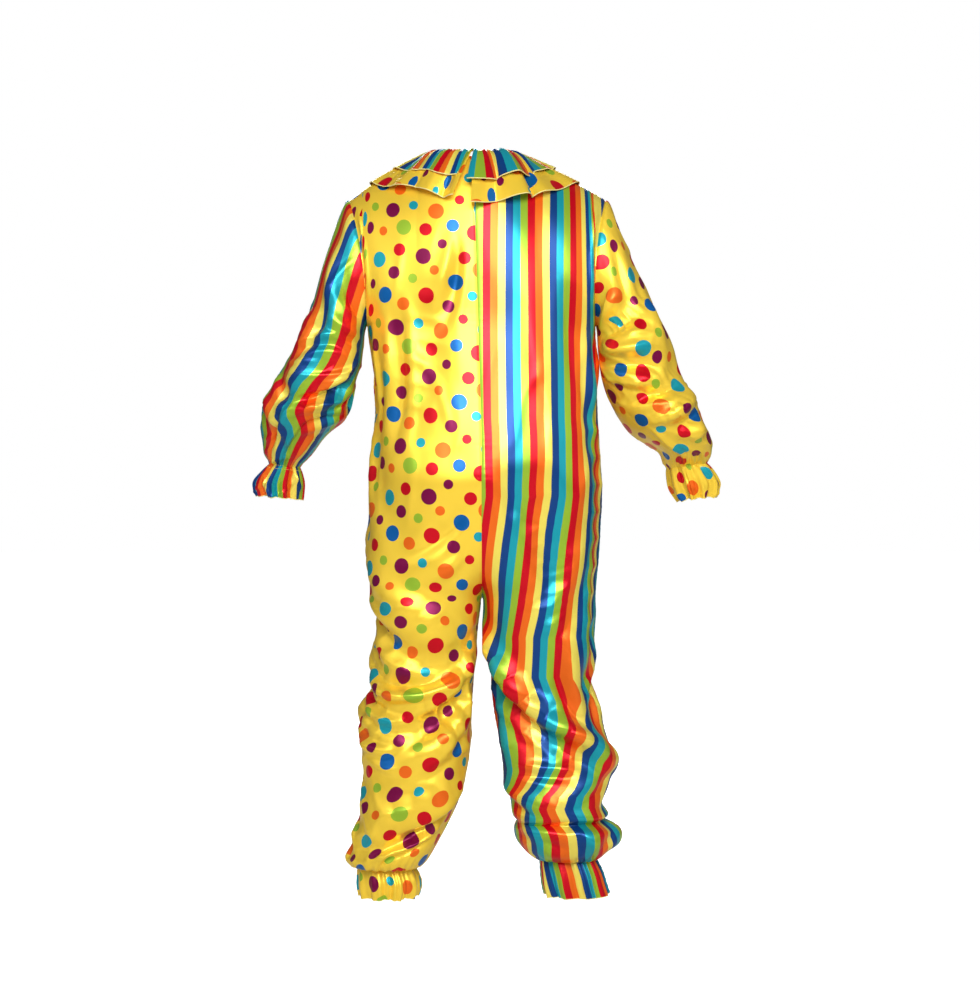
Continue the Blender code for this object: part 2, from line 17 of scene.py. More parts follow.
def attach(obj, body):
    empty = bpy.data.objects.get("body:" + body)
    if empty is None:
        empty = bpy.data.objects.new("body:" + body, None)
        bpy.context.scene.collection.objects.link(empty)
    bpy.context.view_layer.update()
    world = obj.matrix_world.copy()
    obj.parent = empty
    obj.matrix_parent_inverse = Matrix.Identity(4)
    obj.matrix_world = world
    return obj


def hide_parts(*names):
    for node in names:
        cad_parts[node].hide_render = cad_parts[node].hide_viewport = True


bl_info = {
    "name": "Clown Suit",
    "version": (1, 0, 0),
    "blender": (4, 5, 0),
    "location": "3D View > Sidebar > Clown Suit",
    "description": "Cuts, prints and drapes a clown's one-piece suit",
    "category": "Object",
}

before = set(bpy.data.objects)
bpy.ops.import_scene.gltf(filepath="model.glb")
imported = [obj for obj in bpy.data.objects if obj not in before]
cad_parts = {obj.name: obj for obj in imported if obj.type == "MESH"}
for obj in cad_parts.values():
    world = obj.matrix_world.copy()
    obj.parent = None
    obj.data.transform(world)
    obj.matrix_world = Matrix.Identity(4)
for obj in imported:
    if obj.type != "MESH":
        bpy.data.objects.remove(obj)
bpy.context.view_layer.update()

# ---------------------------------------------------------------- the suit's form, as its frame has it
SEAM_GAP = 0.0004
NECK_HALF_WIDTH = 0.085
NECK_BACK = 0.082
NECK_FRONT = 0.078
NECK_BACK_Z = 0.026
NECK_FRONT_Z = -0.045
NECK_POINT_Z = 0.030
LEFT_SHOULDER_TIP_X = 0.247
RIGHT_SHOULDER_TIP_X = 0.257
SHOULDER_TIP_Z = -0.050
SHOULDER_ROUND = 0.006
UNDERARM_Z = -0.300
ARMHOLE_HALF_DEPTH = 0.076
ARMHOLE_DIP = 0.012
YOKE_ROUND = 2.3
ARMHOLE_REACH = 4
SQUARENESS = 2.5
CROTCH_TOP_Z = -0.700
CROTCH_Z = -0.835
LEAN = 0.017
LEAN_FROM_Z = -0.520
LEG_BLEND_Z = (-0.92, -0.66)  # between these, a body and its leg run into each other softly
NECK_SHARE = 0.4  # of a panel's width, the part that runs up to the neckline
HALF_SPAN = 0.30
SLEEVE_SPAN = 0.46
FOLD_FADE = 6
BACK = 1
FRONT = -1

RUFFLE_FROM = -0.03  # where the ruffles start and end on the neckline, as angles from the centre back
RUFFLE_TO = 2 * math.pi - 0.04
LEFT_END_TURN = 0.40  # how far round the two ends swing by their outer edges
RIGHT_END_TURN = 0.12
RUFFLE_LIFT = 0.0065
RUFFLE_APART = 0.0030
RUFFLE_STAND = 0.002
STAND_AT = 0.015
STAND_WIDTH = 0.022
MARCH_STEP = 0.0044
RUFFLE_WAVES = 13
FLOP = 0.0065  # how far a wave's crest leans over along the ruffle, at its edge
SPOT_ROUNDS = 40  # of smoothing the surface that a ruffle lies on, and the ways out of it
WAY_ROUNDS = 120
CASING_ROWS = 4  # from the upper row of stitches over an elastic to the lower one
STITCH_LENGTH = 0.0030
STITCH_GAP = 0.0012
STITCH_RADIUS = 0.00035
STITCH_RISE = (-1.2, 0.4, 0.8, 0.4, -1.2)  # of a stitch's middle over the cloth, in radii, along it
STITCH_SIDES = 5

# ---------------------------------------------------------------- fineness of the cloth
PANEL_COLUMNS = 124
PANEL_SHARES = np.linspace(0.0, 1.0, PANEL_COLUMNS + 1)  # of the way from the middle to the side
YOKE_FINENESS = 200
YOKE_ROWS = 58
YOKE_BLEND_ROWS = 14  # either side of where the yoke runs into the body
YOKE_BLEND_ROUNDS = 60
LEG_BLEND_ROUNDS = 24
BODY_STEP = 0.0052
BLOUSE_STEP = 0.0030
BLOUSE_FROM_Z = -1.230
PRINT_STRAIGHT_Z = -1.235  # below here a panel's print keeps to its middle
CUFF_CALM_Z = -1.345  # creases start above here
SLEEVE_COLUMNS = 144
CAP_ROWS = 12
SLEEVE_STEP = 0.0050
WRIST_STEP = 0.0030
RUFFLE_COLUMNS = 520

Level = namedtuple("Level", "z inner outer back front")
SleeveLevel = namedtuple("SleeveLevel", "outer_x outer_z inner_x inner_z mid_y depth")
Fold = namedtuple("Fold", "around_1 z_1 around_2 z_2 width height sag", defaults=(0.0,))
Crease = namedtuple("Crease", "around_1 z_1 around_2 z_2 wide_1 wide_2 height bow slip", defaults=(0.0, 0.0))
HALF_FIELDS = "side tip_x body cuff folds creases sleeve wrist sleeve_folds sleeve_creases grain look"
Half = namedtuple("Half", HALF_FIELDS)
Look = namedtuple("Look", "crease_width small_share")  # of a panel's creases, and its smallest ones' height


def table(kind, rows):
    return [kind(*row) for row in rows]


LEFT_BODY = table(Level, [
    (UNDERARM_Z, 0.0, 0.219, 0.136, 0.146),
    (-0.345, 0.0, 0.217, 0.142, 0.15),
    (-0.444, 0.0, 0.208, 0.154, 0.158),
    (-0.543, 0.0, 0.218, 0.167, 0.166),
    (-0.61, 0.0, 0.22, 0.172, 0.168),
    (-0.675, 0.0, 0.222, 0.16, 0.161),
    (-0.75, 0.0, 0.221, 0.149, 0.146),
    (CROTCH_Z, 0.0, 0.213, 0.138, 0.126),
    (-0.88, 0.007, 0.213, 0.131, 0.117),
    (-0.938, 0.012, 0.21, 0.122, 0.113),
    (-0.997, 0.017, 0.212, 0.113, 0.113),
    (-1.036, 0.02, 0.228, 0.111, 0.117),
    (-1.076, 0.022, 0.231, 0.113, 0.118),
    (-1.135, 0.024, 0.234, 0.119, 0.111),
    (-1.194, 0.038, 0.234, 0.122, 0.101),
    (-1.234, 0.046, 0.24, 0.12, 0.097),
    (-1.273, 0.064, 0.235, 0.115, 0.095),
    (-1.313, 0.086, 0.247, 0.112, 0.094),
    (-1.343, 0.104, 0.265, 0.104, 0.091),
    (-1.358, 0.117, 0.258, 0.092, 0.082),
    (-1.3605, 0.127, 0.249, 0.078, 0.072),
])
LEFT_CUFF = table(Level, [
    (-1.354, 0.137, 0.239, 0.06, 0.057),
    (-1.369, 0.132, 0.243, 0.063, 0.06),
    (-1.387, 0.125, 0.243, 0.068, 0.064),
    (-1.403, 0.124, 0.242, 0.069, 0.065),
    (-1.42, 0.13, 0.238, 0.066, 0.062),
])
RIGHT_BODY = table(Level, [
    (UNDERARM_Z, 0.0, 0.23, 0.136, 0.146),
    (-0.345, 0.0, 0.229, 0.142, 0.15),
    (-0.444, 0.0, 0.229, 0.154, 0.158),
    (-0.543, 0.0, 0.233, 0.167, 0.166),
    (-0.61, 0.0, 0.238, 0.172, 0.168),
    (-0.675, 0.0, 0.236, 0.16, 0.161),
    (-0.75, 0.0, 0.233, 0.149, 0.146),
    (CROTCH_Z, 0.0, 0.224, 0.138, 0.126),
    (-0.88, 0.013, 0.23, 0.131, 0.117),
    (-0.938, 0.02, 0.227, 0.122, 0.113),
    (-0.997, 0.018, 0.211, 0.112, 0.113),
    (-1.036, 0.021, 0.216, 0.11, 0.117),
    (-1.076, 0.027, 0.226, 0.113, 0.118),
    (-1.135, 0.039, 0.247, 0.12, 0.111),
    (-1.194, 0.05, 0.242, 0.124, 0.103),
    (-1.234, 0.061, 0.236, 0.126, 0.101),
    (-1.257, 0.064, 0.248, 0.126, 0.102),
    (-1.268, 0.072, 0.236, 0.108, 0.09),
    (-1.284, 0.064, 0.266, 0.121, 0.099),
    (-1.306, 0.067, 0.266, 0.12, 0.1),
    (-1.328, 0.084, 0.248, 0.107, 0.091),
    (-1.342, 0.103, 0.232, 0.088, 0.079),
    (-1.3445, 0.111, 0.225, 0.076, 0.071),
])
RIGHT_CUFF = table(Level, [
    (-1.338, 0.119, 0.217, 0.061, 0.058),
    (-1.353, 0.116, 0.226, 0.064, 0.061),
    (-1.375, 0.118, 0.236, 0.067, 0.064),
    (-1.397, 0.121, 0.242, 0.069, 0.065),
    (-1.417, 0.126, 0.248, 0.069, 0.065),
])
LEFT_SLEEVE = table(SleeveLevel, [
    (0.274, -0.112, 0.2268, -0.32, 0, 0.082),
    (0.303, -0.18, 0.2292, -0.345, 0.004, 0.084),
    (0.326, -0.258, 0.2345, -0.376, 0.008, 0.083),
    (0.356, -0.328, 0.245, -0.407, 0.008, 0.082),
    (0.391, -0.388, 0.251, -0.44, 0.002, 0.082),
    (0.425, -0.446, 0.264, -0.472, -0.012, 0.084),
    (0.437, -0.5, 0.305, -0.506, -0.035, 0.079),
    (0.437, -0.541, 0.337, -0.545, -0.06, 0.066),
    (0.429, -0.562, 0.36, -0.568, -0.074, 0.048),
])
LEFT_WRIST = table(SleeveLevel, [
    (0.426, -0.57, 0.368, -0.577, -0.08, 0.036),
    (0.44, -0.584, 0.364, -0.59, -0.086, 0.041),
    (0.457, -0.608, 0.362, -0.612, -0.094, 0.047),
    (0.45, -0.632, 0.367, -0.641, -0.101, 0.048),
])
RIGHT_SLEEVE = table(SleeveLevel, [
    (0.284, -0.112, 0.2345, -0.32, 0, 0.082),
    (0.31, -0.18, 0.235, -0.348, 0.004, 0.084),
    (0.342, -0.25, 0.237, -0.383, 0.008, 0.085),
    (0.375, -0.322, 0.242, -0.412, 0.008, 0.085),
    (0.396, -0.39, 0.253, -0.444, 0.002, 0.085),
    (0.427, -0.46, 0.275, -0.484, -0.012, 0.085),
    (0.454, -0.518, 0.301, -0.515, -0.035, 0.079),
    (0.458, -0.545, 0.352, -0.546, -0.06, 0.066),
    (0.454, -0.56, 0.364, -0.568, -0.074, 0.05),
])
RIGHT_WRIST = table(SleeveLevel, [
    (0.45, -0.568, 0.372, -0.578, -0.08, 0.038),
    (0.464, -0.584, 0.373, -0.592, -0.086, 0.043),
    (0.477, -0.61, 0.38, -0.618, -0.094, 0.048),
    (0.467, -0.634, 0.398, -0.642, -0.101, 0.048),
])

LEFT_FOLDS = table(Fold, [
    (0.95, -0.36, 0.7, -0.64, 0.034, -0.009),
    (0.2, -0.15, 0.45, -0.48, 0.04, -0.007),
    (1.0, -0.72, 0.45, -0.9, 0.034, 0.01),
    (0.98, -0.86, 0.1, -0.9, 0.034, -0.01, 0.075),
    (0.98, -0.96, 0.08, -0.94, 0.034, 0.011, 0.075),
    (0.98, -1.01, 0.1, -1.0, 0.034, -0.012, 0.07),
    (0.98, -1.055, 0.15, -1.04, 0.034, 0.01, 0.06),
    (0.9, -1.3, 0.1, -1.19, 0.034, 0.011),
    (0.7, -1.33, 0.05, -1.25, 0.034, -0.01),
    (1.15, -0.9, 1.85, -0.96, 0.034, -0.009, 0.05),
    (1.1, -1.06, 1.8, -1.09, 0.034, 0.01, 0.04),
    (1.1, -1.25, 1.75, -1.31, 0.034, -0.009),
    (1.75, -0.35, 1.45, -0.7, 0.04, -0.008),
])
RIGHT_FOLDS = table(Fold, [
    (0.8, -0.48, 0.86, -0.9, 0.034, -0.012),
    (0.3, -0.62, 0.55, -0.86, 0.04, -0.008),
    (0.02, -0.9, 0.86, -1.15, 0.034, 0.013, 0.02),
    (0.02, -0.96, 0.6, -1.16, 0.034, -0.013, 0.02),
    (0.9, -0.9, 0.75, -1.12, 0.034, -0.01),
    (1.0, -1.03, 1.05, -1.18, 0.034, 0.008),
    (0.2, -1.12, 0.12, -1.24, 0.034, 0.01),
    (0.85, -1.18, 0.35, -1.25, 0.034, 0.008),
    (1.15, -0.9, 1.85, -0.96, 0.034, -0.009, 0.05),
    (1.1, -1.06, 1.8, -1.09, 0.034, 0.01, 0.04),
    (1.15, -1.2, 1.75, -1.24, 0.034, -0.008),
    (1.75, -0.35, 1.45, -0.7, 0.04, -0.008),
])
LEFT_SLEEVE_FOLDS = table(Fold, [
    (0.02, -0.452, 0.36, -0.44, 0.022, -0.012),
    (0.02, -0.49, 0.3, -0.474, 0.022, 0.008),
    (0.42, -0.3, 0.3, -0.44, 0.024, 0.009),
    (0.4, -0.49, 0.22, -0.545, 0.022, -0.008),
    (0.9, -0.4, 0.6, -0.43, 0.022, -0.009),
])
RIGHT_SLEEVE_FOLDS = table(Fold, [
    (0.1, -0.33, 0.4, -0.24, 0.022, -0.008),
    (0.06, -0.44, 0.4, -0.38, 0.024, -0.009),
    (0.15, -0.52, 0.42, -0.44, 0.024, 0.009),
    (0.9, -0.4, 0.6, -0.43, 0.022, -0.009),
])

# ---------------------------------------------------------------- creases finer than the frame's folds
# Around and z as the folds have them. A crease is wide_1 at its first end and wide_2 at its second, bows by
# bow, and slip moves the print along it, as cloth tucked into the crease does.
LEFT_CREASES = table(Crease, [
    (0.12, -0.9, 0.72, -1.085, 0.012, 0.02, 0.011, 0.03),
    (0.08, -0.95, 0.78, -1.16, 0.012, 0.02, -0.01, 0.024),
    (0.1, -1.02, 0.6, -1.19, 0.012, 0.018, 0.0085, 0.014),
    (0.93, -0.075, 0.95, -0.185, 0.008, 0.012, 0.0101, 0.004),
    (0.1, -0.13, 0.26, -0.33, 0.01, 0.018, -0.0081, 0.012),
    (0.16, -0.12, 0.34, -0.29, 0.01, 0.018, 0.0061, 0.012),
    (0.52, -0.24, 0.6, -0.58, 0.012, 0.02, -0.0088, 0.01),
    (0.62, -0.26, 0.68, -0.52, 0.01, 0.018, 0.0068, 0.008),
    (0.78, -0.3, 0.83, -0.54, 0.01, 0.016, 0.0068, 0.006),
    (0.98, -0.33, 0.86, -0.47, 0.009, 0.014, -0.0081, -0.006),
    (0.9, -0.47, 0.8, -0.7, 0.01, 0.018, 0.0074),
    (0.97, -0.56, 0.86, -0.72, 0.008, 0.014, -0.0068),
    (0.08, -0.65, 0.55, -0.76, 0.014, 0.022, -0.0075, 0.02),
    (0.06, -0.72, 0.42, -0.8, 0.012, 0.018, 0.0063, 0.016),
    (0.99, -0.77, 0.55, -0.9, 0.008, 0.02, 0.0106, 0.02),
    (0.99, -0.825, 0.45, -0.95, 0.008, 0.02, -0.01, 0.022),
    (0.98, -0.87, 0.38, -0.985, 0.008, 0.018, 0.0094, 0.03),
    (0.99, -0.93, 0.3, -0.975, 0.007, 0.014, -0.0112, 0.045),
    (0.99, -0.96, 0.22, -0.96, 0.007, 0.014, 0.0119, 0.062),
    (0.98, -0.99, 0.48, -1.045, 0.006, 0.013, -0.0106, 0.026),
    (0.98, -1.015, 0.42, -1.07, 0.006, 0.014, 0.01, 0.026),
    (0.97, -1.06, 0.55, -1.11, 0.007, 0.014, -0.0075, 0.018),
    (0.95, -1.09, 0.6, -1.13, 0.007, 0.014, 0.0063, 0.012),
    (0.3, -0.92, 0.16, -1.1, 0.01, 0.016, 0.01, -0.012, 0.004),
    (0.22, -0.96, 0.1, -1.12, 0.008, 0.014, -0.0088, -0.01),
    (0.46, -1.0, 0.24, -1.14, 0.009, 0.015, -0.0081, -0.01),
    (0.85, -1.13, 0.52, -1.17, 0.007, 0.01, 0.0056, 0.006),
    (0.9, -1.15, 0.93, -1.28, 0.008, 0.012, -0.0069, 0.004),
    (0.1, -1.18, 0.6, -1.29, 0.012, 0.014, 0.0106, 0.012),
    (0.12, -1.225, 0.66, -1.325, 0.01, 0.012, -0.01, 0.012),
    (0.22, -1.265, 0.7, -1.345, 0.009, 0.01, 0.0088, 0.01),
    (0.97, -1.23, 0.74, -1.345, 0.008, 0.012, 0.0088, 0.008),
    (0.98, -1.28, 0.84, -1.355, 0.007, 0.009, -0.0075, 0.004),
    (0.5, -1.31, 0.58, -1.364, 0.008, 0.006, 0.0056),
    (1.05, -0.96, 1.6, -1.02, 0.008, 0.018, 0.0106, 0.04),
    (1.05, -1.01, 1.7, -1.06, 0.008, 0.016, -0.01, 0.034),
    (1.08, -1.06, 1.62, -1.1, 0.008, 0.016, 0.0088, 0.026),
    (1.95, -0.78, 1.4, -0.93, 0.01, 0.02, 0.01, 0.02),
    (1.96, -0.85, 1.45, -0.98, 0.009, 0.018, -0.0094, 0.02),
    (1.2, -1.24, 1.75, -1.32, 0.01, 0.012, 0.01, 0.01),
    (1.15, -1.29, 1.6, -1.35, 0.009, 0.01, -0.0088, 0.01),
    (1.6, -0.3, 1.5, -0.64, 0.012, 0.02, 0.0081, 0.008),
    (1.4, -0.28, 1.36, -0.56, 0.012, 0.018, -0.0074, 0.006),
    (1.92, -0.6, 1.45, -0.74, 0.012, 0.02, -0.0088, 0.014),
    (1.02, -0.33, 1.14, -0.47, 0.009, 0.014, -0.0081, 0.006),
])
RIGHT_CREASES = table(Crease, [
    (0.9, -0.07, 0.93, -0.16, 0.008, 0.01, 0.0054, 0.004),
    (0.34, -0.16, 0.4, -0.5, 0.014, 0.022, 0.0061, 0.008),
    (0.6, -0.2, 0.66, -0.46, 0.012, 0.02, -0.0074, 0.008),
    (0.74, -0.3, 0.86, -0.6, 0.01, 0.016, 0.0088, 0.006),
    (0.86, -0.3, 0.94, -0.52, 0.009, 0.014, -0.0081, 0.004),
    (0.98, -0.33, 0.92, -0.47, 0.008, 0.012, 0.0081, -0.006),
    (0.84, -0.48, 0.97, -0.5, 0.006, 0.008, -0.0061),
    (0.06, -0.56, 0.4, -0.72, 0.014, 0.022, -0.0074, 0.012),
    (0.3, -0.7, 0.62, -0.86, 0.014, 0.022, -0.0072, 0.01),
    (0.62, -0.72, 0.5, -0.96, 0.012, 0.02, 0.0078, -0.01),
    (0.76, -0.7, 0.7, -0.94, 0.01, 0.016, -0.0072, -0.008),
    (0.62, -0.85, 0.44, -0.905, 0.006, 0.01, 0.0054, 0.006),
    (0.05, -0.86, 0.1, -1.15, 0.007, 0.012, -0.0108, 0.006),
    (0.12, -0.88, 0.2, -1.14, 0.007, 0.014, 0.0102, 0.006, 0.004),
    (0.08, -0.9, 0.46, -1.09, 0.008, 0.015, -0.012, 0.016, 0.006),
    (-0.1, -0.8, 0.64, -1.125, 0.01, 0.016, 0.02, 0.012),
    (0.02, -0.885, 0.6, -1.11, 0.01, 0.015, 0.0, 0.01, 0.026),
    (0.44, -1.06, 0.94, -1.18, 0.009, 0.016, 0.0144, -0.01, 0.01),
    (0.2, -0.985, 0.86, -1.195, 0.008, 0.014, -0.0114, 0.02),
    (0.56, -0.93, 0.8, -1.11, 0.008, 0.015, -0.0108, 0.01),
    (0.6, -0.89, 0.86, -1.13, 0.008, 0.014, 0.0132, 0.012, 0.014),
    (0.99, -0.91, 0.78, -1.06, 0.007, 0.012, 0.0108, 0.01),
    (0.99, -0.98, 0.84, -1.11, 0.007, 0.012, -0.0096, 0.01),
    (0.9, -1.1, 0.99, -1.2, 0.009, 0.009, 0.0078, 0.006),
    (0.24, -1.15, 0.66, -1.165, 0.005, 0.006, 0.0066, 0.002, 0.004),
    (0.22, -1.168, 0.56, -1.178, 0.005, 0.006, -0.0046, 0.002),
    (0.05, -1.17, 0.46, -1.25, 0.009, 0.014, 0.009, 0.008),
    (0.95, -1.15, 0.5, -1.238, 0.009, 0.014, -0.0084, 0.012),
    (0.1, -1.215, 0.52, -1.256, 0.008, 0.01, -0.0078, 0.006),
    (0.15, -1.262, 0.5, -1.3, 0.008, 0.012, 0.0078, 0.004),
    (0.28, -1.275, 0.56, -1.325, 0.007, 0.01, -0.0072, 0.004),
    (0.55, -1.268, 0.7, -1.335, 0.009, 0.008, 0.0084),
    (0.88, -1.262, 0.66, -1.325, 0.007, 0.01, -0.0078, 0.004),
    (0.96, -1.27, 0.84, -1.33, 0.007, 0.008, 0.0072, 0.004),
    (1.05, -0.96, 1.6, -1.02, 0.008, 0.018, 0.0102, 0.04),
    (1.05, -1.01, 1.7, -1.06, 0.008, 0.016, -0.0096, 0.034),
    (1.02, -0.9, 1.34, -1.1, 0.009, 0.014, -0.0096, 0.016),
    (1.95, -0.8, 1.42, -0.95, 0.01, 0.02, 0.0096, 0.02),
    (1.96, -0.87, 1.46, -1.0, 0.009, 0.018, -0.009, 0.02),
    (1.2, -1.17, 1.75, -1.25, 0.01, 0.012, 0.0096, 0.01),
    (1.15, -1.262, 1.6, -1.32, 0.009, 0.01, -0.0084, 0.01),
    (1.6, -0.3, 1.5, -0.64, 0.012, 0.02, 0.0081, 0.008),
    (1.4, -0.28, 1.36, -0.56, 0.012, 0.018, -0.0074, 0.006),
    (1.92, -0.6, 1.45, -0.74, 0.012, 0.02, -0.0088, 0.014),
    (1.02, -0.33, 1.14, -0.47, 0.009, 0.014, -0.0081, 0.006),
])
# On a sleeve, around runs 0 at the underarm seam, 0.25 at the back, 0.5 at the outer side and on to 1.
LEFT_SLEEVE_CREASES = table(Crease, [
    (0.08, -0.3, 0.3, -0.2, 0.008, 0.016, -0.0097, 0.006),
    (0.06, -0.33, 0.34, -0.27, 0.007, 0.016, 0.0097, 0.008),
    (0.38, -0.13, 0.28, -0.3, 0.01, 0.016, 0.0081, 0.006),
    (0.3, -0.24, 0.4, -0.4, 0.009, 0.014, -0.009, 0.006),
    (0.06, -0.38, 0.3, -0.435, 0.008, 0.012, 0.012, 0.006),
    (0.04, -0.41, 0.28, -0.45, 0.007, 0.011, -0.013, 0.006),
    (0.04, -0.435, 0.32, -0.468, 0.007, 0.012, 0.013, 0.006),
    (0.02, -0.385, 0.66, -0.405, 0.014, 0.014, 0.002, 0.01, 0.011),
    (0.04, -0.478, 0.66, -0.492, 0.014, 0.014, 0.003, 0.008, -0.017),
    (0.06, -0.528, 0.62, -0.536, 0.012, 0.012, -0.002, 0.004, 0.008),
    (0.14, -0.345, 0.44, -0.35, 0.007, 0.009, 0.006, -0.026),
    (0.12, -0.365, 0.42, -0.368, 0.007, 0.009, -0.005, -0.026),
    (0.05, -0.47, 0.26, -0.5, 0.006, 0.009, -0.0114, 0.004),
    (0.46, -0.38, 0.28, -0.465, 0.007, 0.011, -0.0105, 0.006),
    (0.48, -0.42, 0.34, -0.5, 0.007, 0.011, 0.0097, 0.006),
    (0.2, -0.47, 0.28, -0.562, 0.007, 0.006, 0.009),
    (0.32, -0.45, 0.36, -0.562, 0.008, 0.006, -0.009),
    (0.12, -0.5, 0.16, -0.57, 0.007, 0.005, 0.0081),
    (0.95, -0.4, 0.7, -0.44, 0.006, 0.012, 0.0139, 0.006),
    (0.93, -0.44, 0.66, -0.48, 0.006, 0.012, -0.013, 0.006),
    (0.8, -0.22, 0.68, -0.36, 0.01, 0.016, -0.0097, 0.006),
])
RIGHT_SLEEVE_CREASES = table(Crease, [
    (0.04, -0.32, 0.32, -0.215, 0.007, 0.016, 0.0118, 0.004),
    (0.04, -0.338, 0.36, -0.27, 0.007, 0.015, -0.0126, 0.006),
    (0.04, -0.352, 0.38, -0.33, 0.007, 0.015, 0.0135, 0.008),
    (0.04, -0.375, 0.38, -0.37, 0.006, 0.015, -0.0135, 0.01),
    (0.05, -0.4, 0.36, -0.41, 0.006, 0.014, 0.0118, 0.01),
    (0.08, -0.46, 0.44, -0.4, 0.008, 0.013, -0.0126, 0.006),
    (0.14, -0.5, 0.47, -0.425, 0.008, 0.013, 0.0135, 0.008),
    (0.22, -0.515, 0.46, -0.46, 0.007, 0.01, -0.0109, 0.004),
    (0.3, -0.525, 0.44, -0.49, 0.007, 0.009, 0.0101, 0.002),
    (0.18, -0.5, 0.22, -0.566, 0.007, 0.005, 0.0094),
    (0.34, -0.13, 0.28, -0.3, 0.01, 0.016, -0.0084, 0.004),
    (0.44, -0.2, 0.36, -0.36, 0.01, 0.014, 0.0077, 0.004),
    (0.95, -0.4, 0.7, -0.44, 0.006, 0.012, 0.0144, 0.006),
    (0.93, -0.44, 0.66, -0.48, 0.006, 0.012, -0.0135, 0.006),
    (0.8, -0.22, 0.68, -0.36, 0.01, 0.016, -0.0101, 0.006),
])

# Where the first whole repeat of the print starts: height, x on the suit before it leans. The grain runs down
# these lines.
LEFT_GRAIN = [
    (0.050, 0.087),
    (-0.300, 0.087),
    (-0.634, 0.086),
    (-0.815, 0.080),
    (-0.906, 0.076),
    (-1.200, 0.090),
    (-1.300, 0.130),
    (-1.420, 0.150),
]
RIGHT_GRAIN = [
    (0.050, 0.107),
    (-0.059, 0.104),
    (-0.168, 0.099),
    (-0.326, 0.094),
    (-0.484, 0.091),
    (-0.634, 0.094),
    (-0.724, 0.082),
    (-0.815, 0.072),
    (-0.906, 0.058),
    (-0.983, 0.064),
    (-1.030, 0.083),
    (-1.111, 0.086),
    (-1.162, 0.080),
    (-1.210, 0.066),
    (-1.257, 0.070),
    (-1.300, 0.104),
    (-1.340, 0.118),
    (-1.420, 0.130),
]

LEFT = Half(
    1, LEFT_SHOULDER_TIP_X, LEFT_BODY, LEFT_CUFF, LEFT_FOLDS, LEFT_CREASES, LEFT_SLEEVE, LEFT_WRIST,
    LEFT_SLEEVE_FOLDS, LEFT_SLEEVE_CREASES, LEFT_GRAIN, Look(0.80, 1.0),
)
RIGHT = Half(
    -1, RIGHT_SHOULDER_TIP_X, RIGHT_BODY, RIGHT_CUFF, RIGHT_FOLDS, RIGHT_CREASES, RIGHT_SLEEVE, RIGHT_WRIST,
    RIGHT_SLEEVE_FOLDS, RIGHT_SLEEVE_CREASES, RIGHT_GRAIN, Look(1.30, 0.35),
)

# ---------------------------------------------------------------- the pieces and their cut
# Each panel's half, face, print and seed, and each sleeve's half, print and seed.
PANELS = {
    "back_left": (LEFT, BACK, "dotted", 101),
    "front_left": (LEFT, FRONT, "dotted", 211),
    "back_right": (RIGHT, BACK, "striped", 307),
    "front_right": (RIGHT, FRONT, "striped", 401),
}
SLEEVES = {"sleeve_left": (LEFT, "striped", 503), "sleeve_right": (RIGHT, "dotted", 607)}
LOWER_RUFFLE = (0.110, 0.019, 0.6, 11)  # width, height of its waves, where they start, seed
UPPER_RUFFLE = (0.066, 0.010, 2.2, 29)

# ---------------------------------------------------------------- small creases, gathers and rolling
# Creases drawn at random: how many, own number, two corners (around, z), slant, length, width, height.
PANEL_SCATTER = [
    (26, 1, (0.05, -0.55), (1.90, -0.15), -1.3, 0.10, 0.012, 0.0010),
    (44, 2, (0.05, -1.15), (1.85, -0.70), -0.5, 0.09, 0.011, 0.0014),
    (40, 3, (0.05, -1.33), (1.85, -1.12), -1.1, 0.07, 0.010, 0.0014),
]
SLEEVE_SCATTER = [
    (26, 1, (0.05, -0.40), (0.95, -0.12), -1.2, 0.07, 0.006, 0.0012),
    (46, 2, (0.05, -0.55), (0.95, -0.36), -0.9, 0.05, 0.005, 0.0020),
]
# Drag lines: own number, slant, spacing, height, length, and how far they bend.
LEG_DRAGS = [
    (21, 0.95, 0.050, 0.0022, 0.16, 0.35),
    (22, -0.85, 0.056, 0.0022, 0.16, 0.35),
    (23, 1.25, 0.040, 0.0012, 0.13, 0.35),
]
CHEST_DRAGS = [
    (24, 0.10, 0.075, 0.0030, 0.22, 0.15),
    (25, -0.45, 0.085, 0.0026, 0.20, 0.15),
]
FOREARM_DRAGS = [
    (21, 1.05, 0.036, 0.0034, 0.09, 0.35),
    (22, -0.80, 0.040, 0.0034, 0.09, 0.35),
]
UPPER_ARM_DRAGS = [(23, 0.35, 0.050, 0.0030, 0.12, 0.35)]
PANEL_ROLLING = (0.0013, 0.12, 0.35)  # height, length, how far from upright
SLEEVE_ROLLING = (0.0012, 0.08, 0.4)
# Gathers: how far up from the elastic, where they start to swell, their height, and what they swell by.
ANKLE_GATHERS = (0.030, 0.012, 0.0008, 0.0016)
WRIST_GATHERS = (0.025, 0.010, 0.0007, 0.0014)

# ---------------------------------------------------------------- seams, hems and gathers
ARMHOLE_CALM = 0.045  # creases die out over this distance from an armhole
OVERHANG_AT = 0.014  # the body's soft fold along the armhole, how far from the seam
OVERHANG_WIDTH = 0.007
OVERHANG_HEIGHT = 0.0045
FRONT_PRINT_DOWN = 0.0225  # the front panels are cut half a dot lower in the print
SLEEVE_PRINT_ASIDE = 0.0493  # and the sleeves about three stripes to the side
ALLOWANCE = 0.007  # how far a seam's edges turn in
PANEL_TUCK = 0.8  # how much the edges at an armhole turn to its middle, beside 1 along the sleeve
SLEEVE_TUCK = 1.4
SEAM_X = 0.0003  # where the panels meet in the middle, and how near it the rest of them may come
NEAREST_X = 0.0006
SEAM_DIP = 0.0013
SEAM_DIP_WIDTH = 0.0032
PUCKER_HEIGHT = 0.0006
PUCKER_LENGTH = 0.013
PUCKER_REACH = 0.012
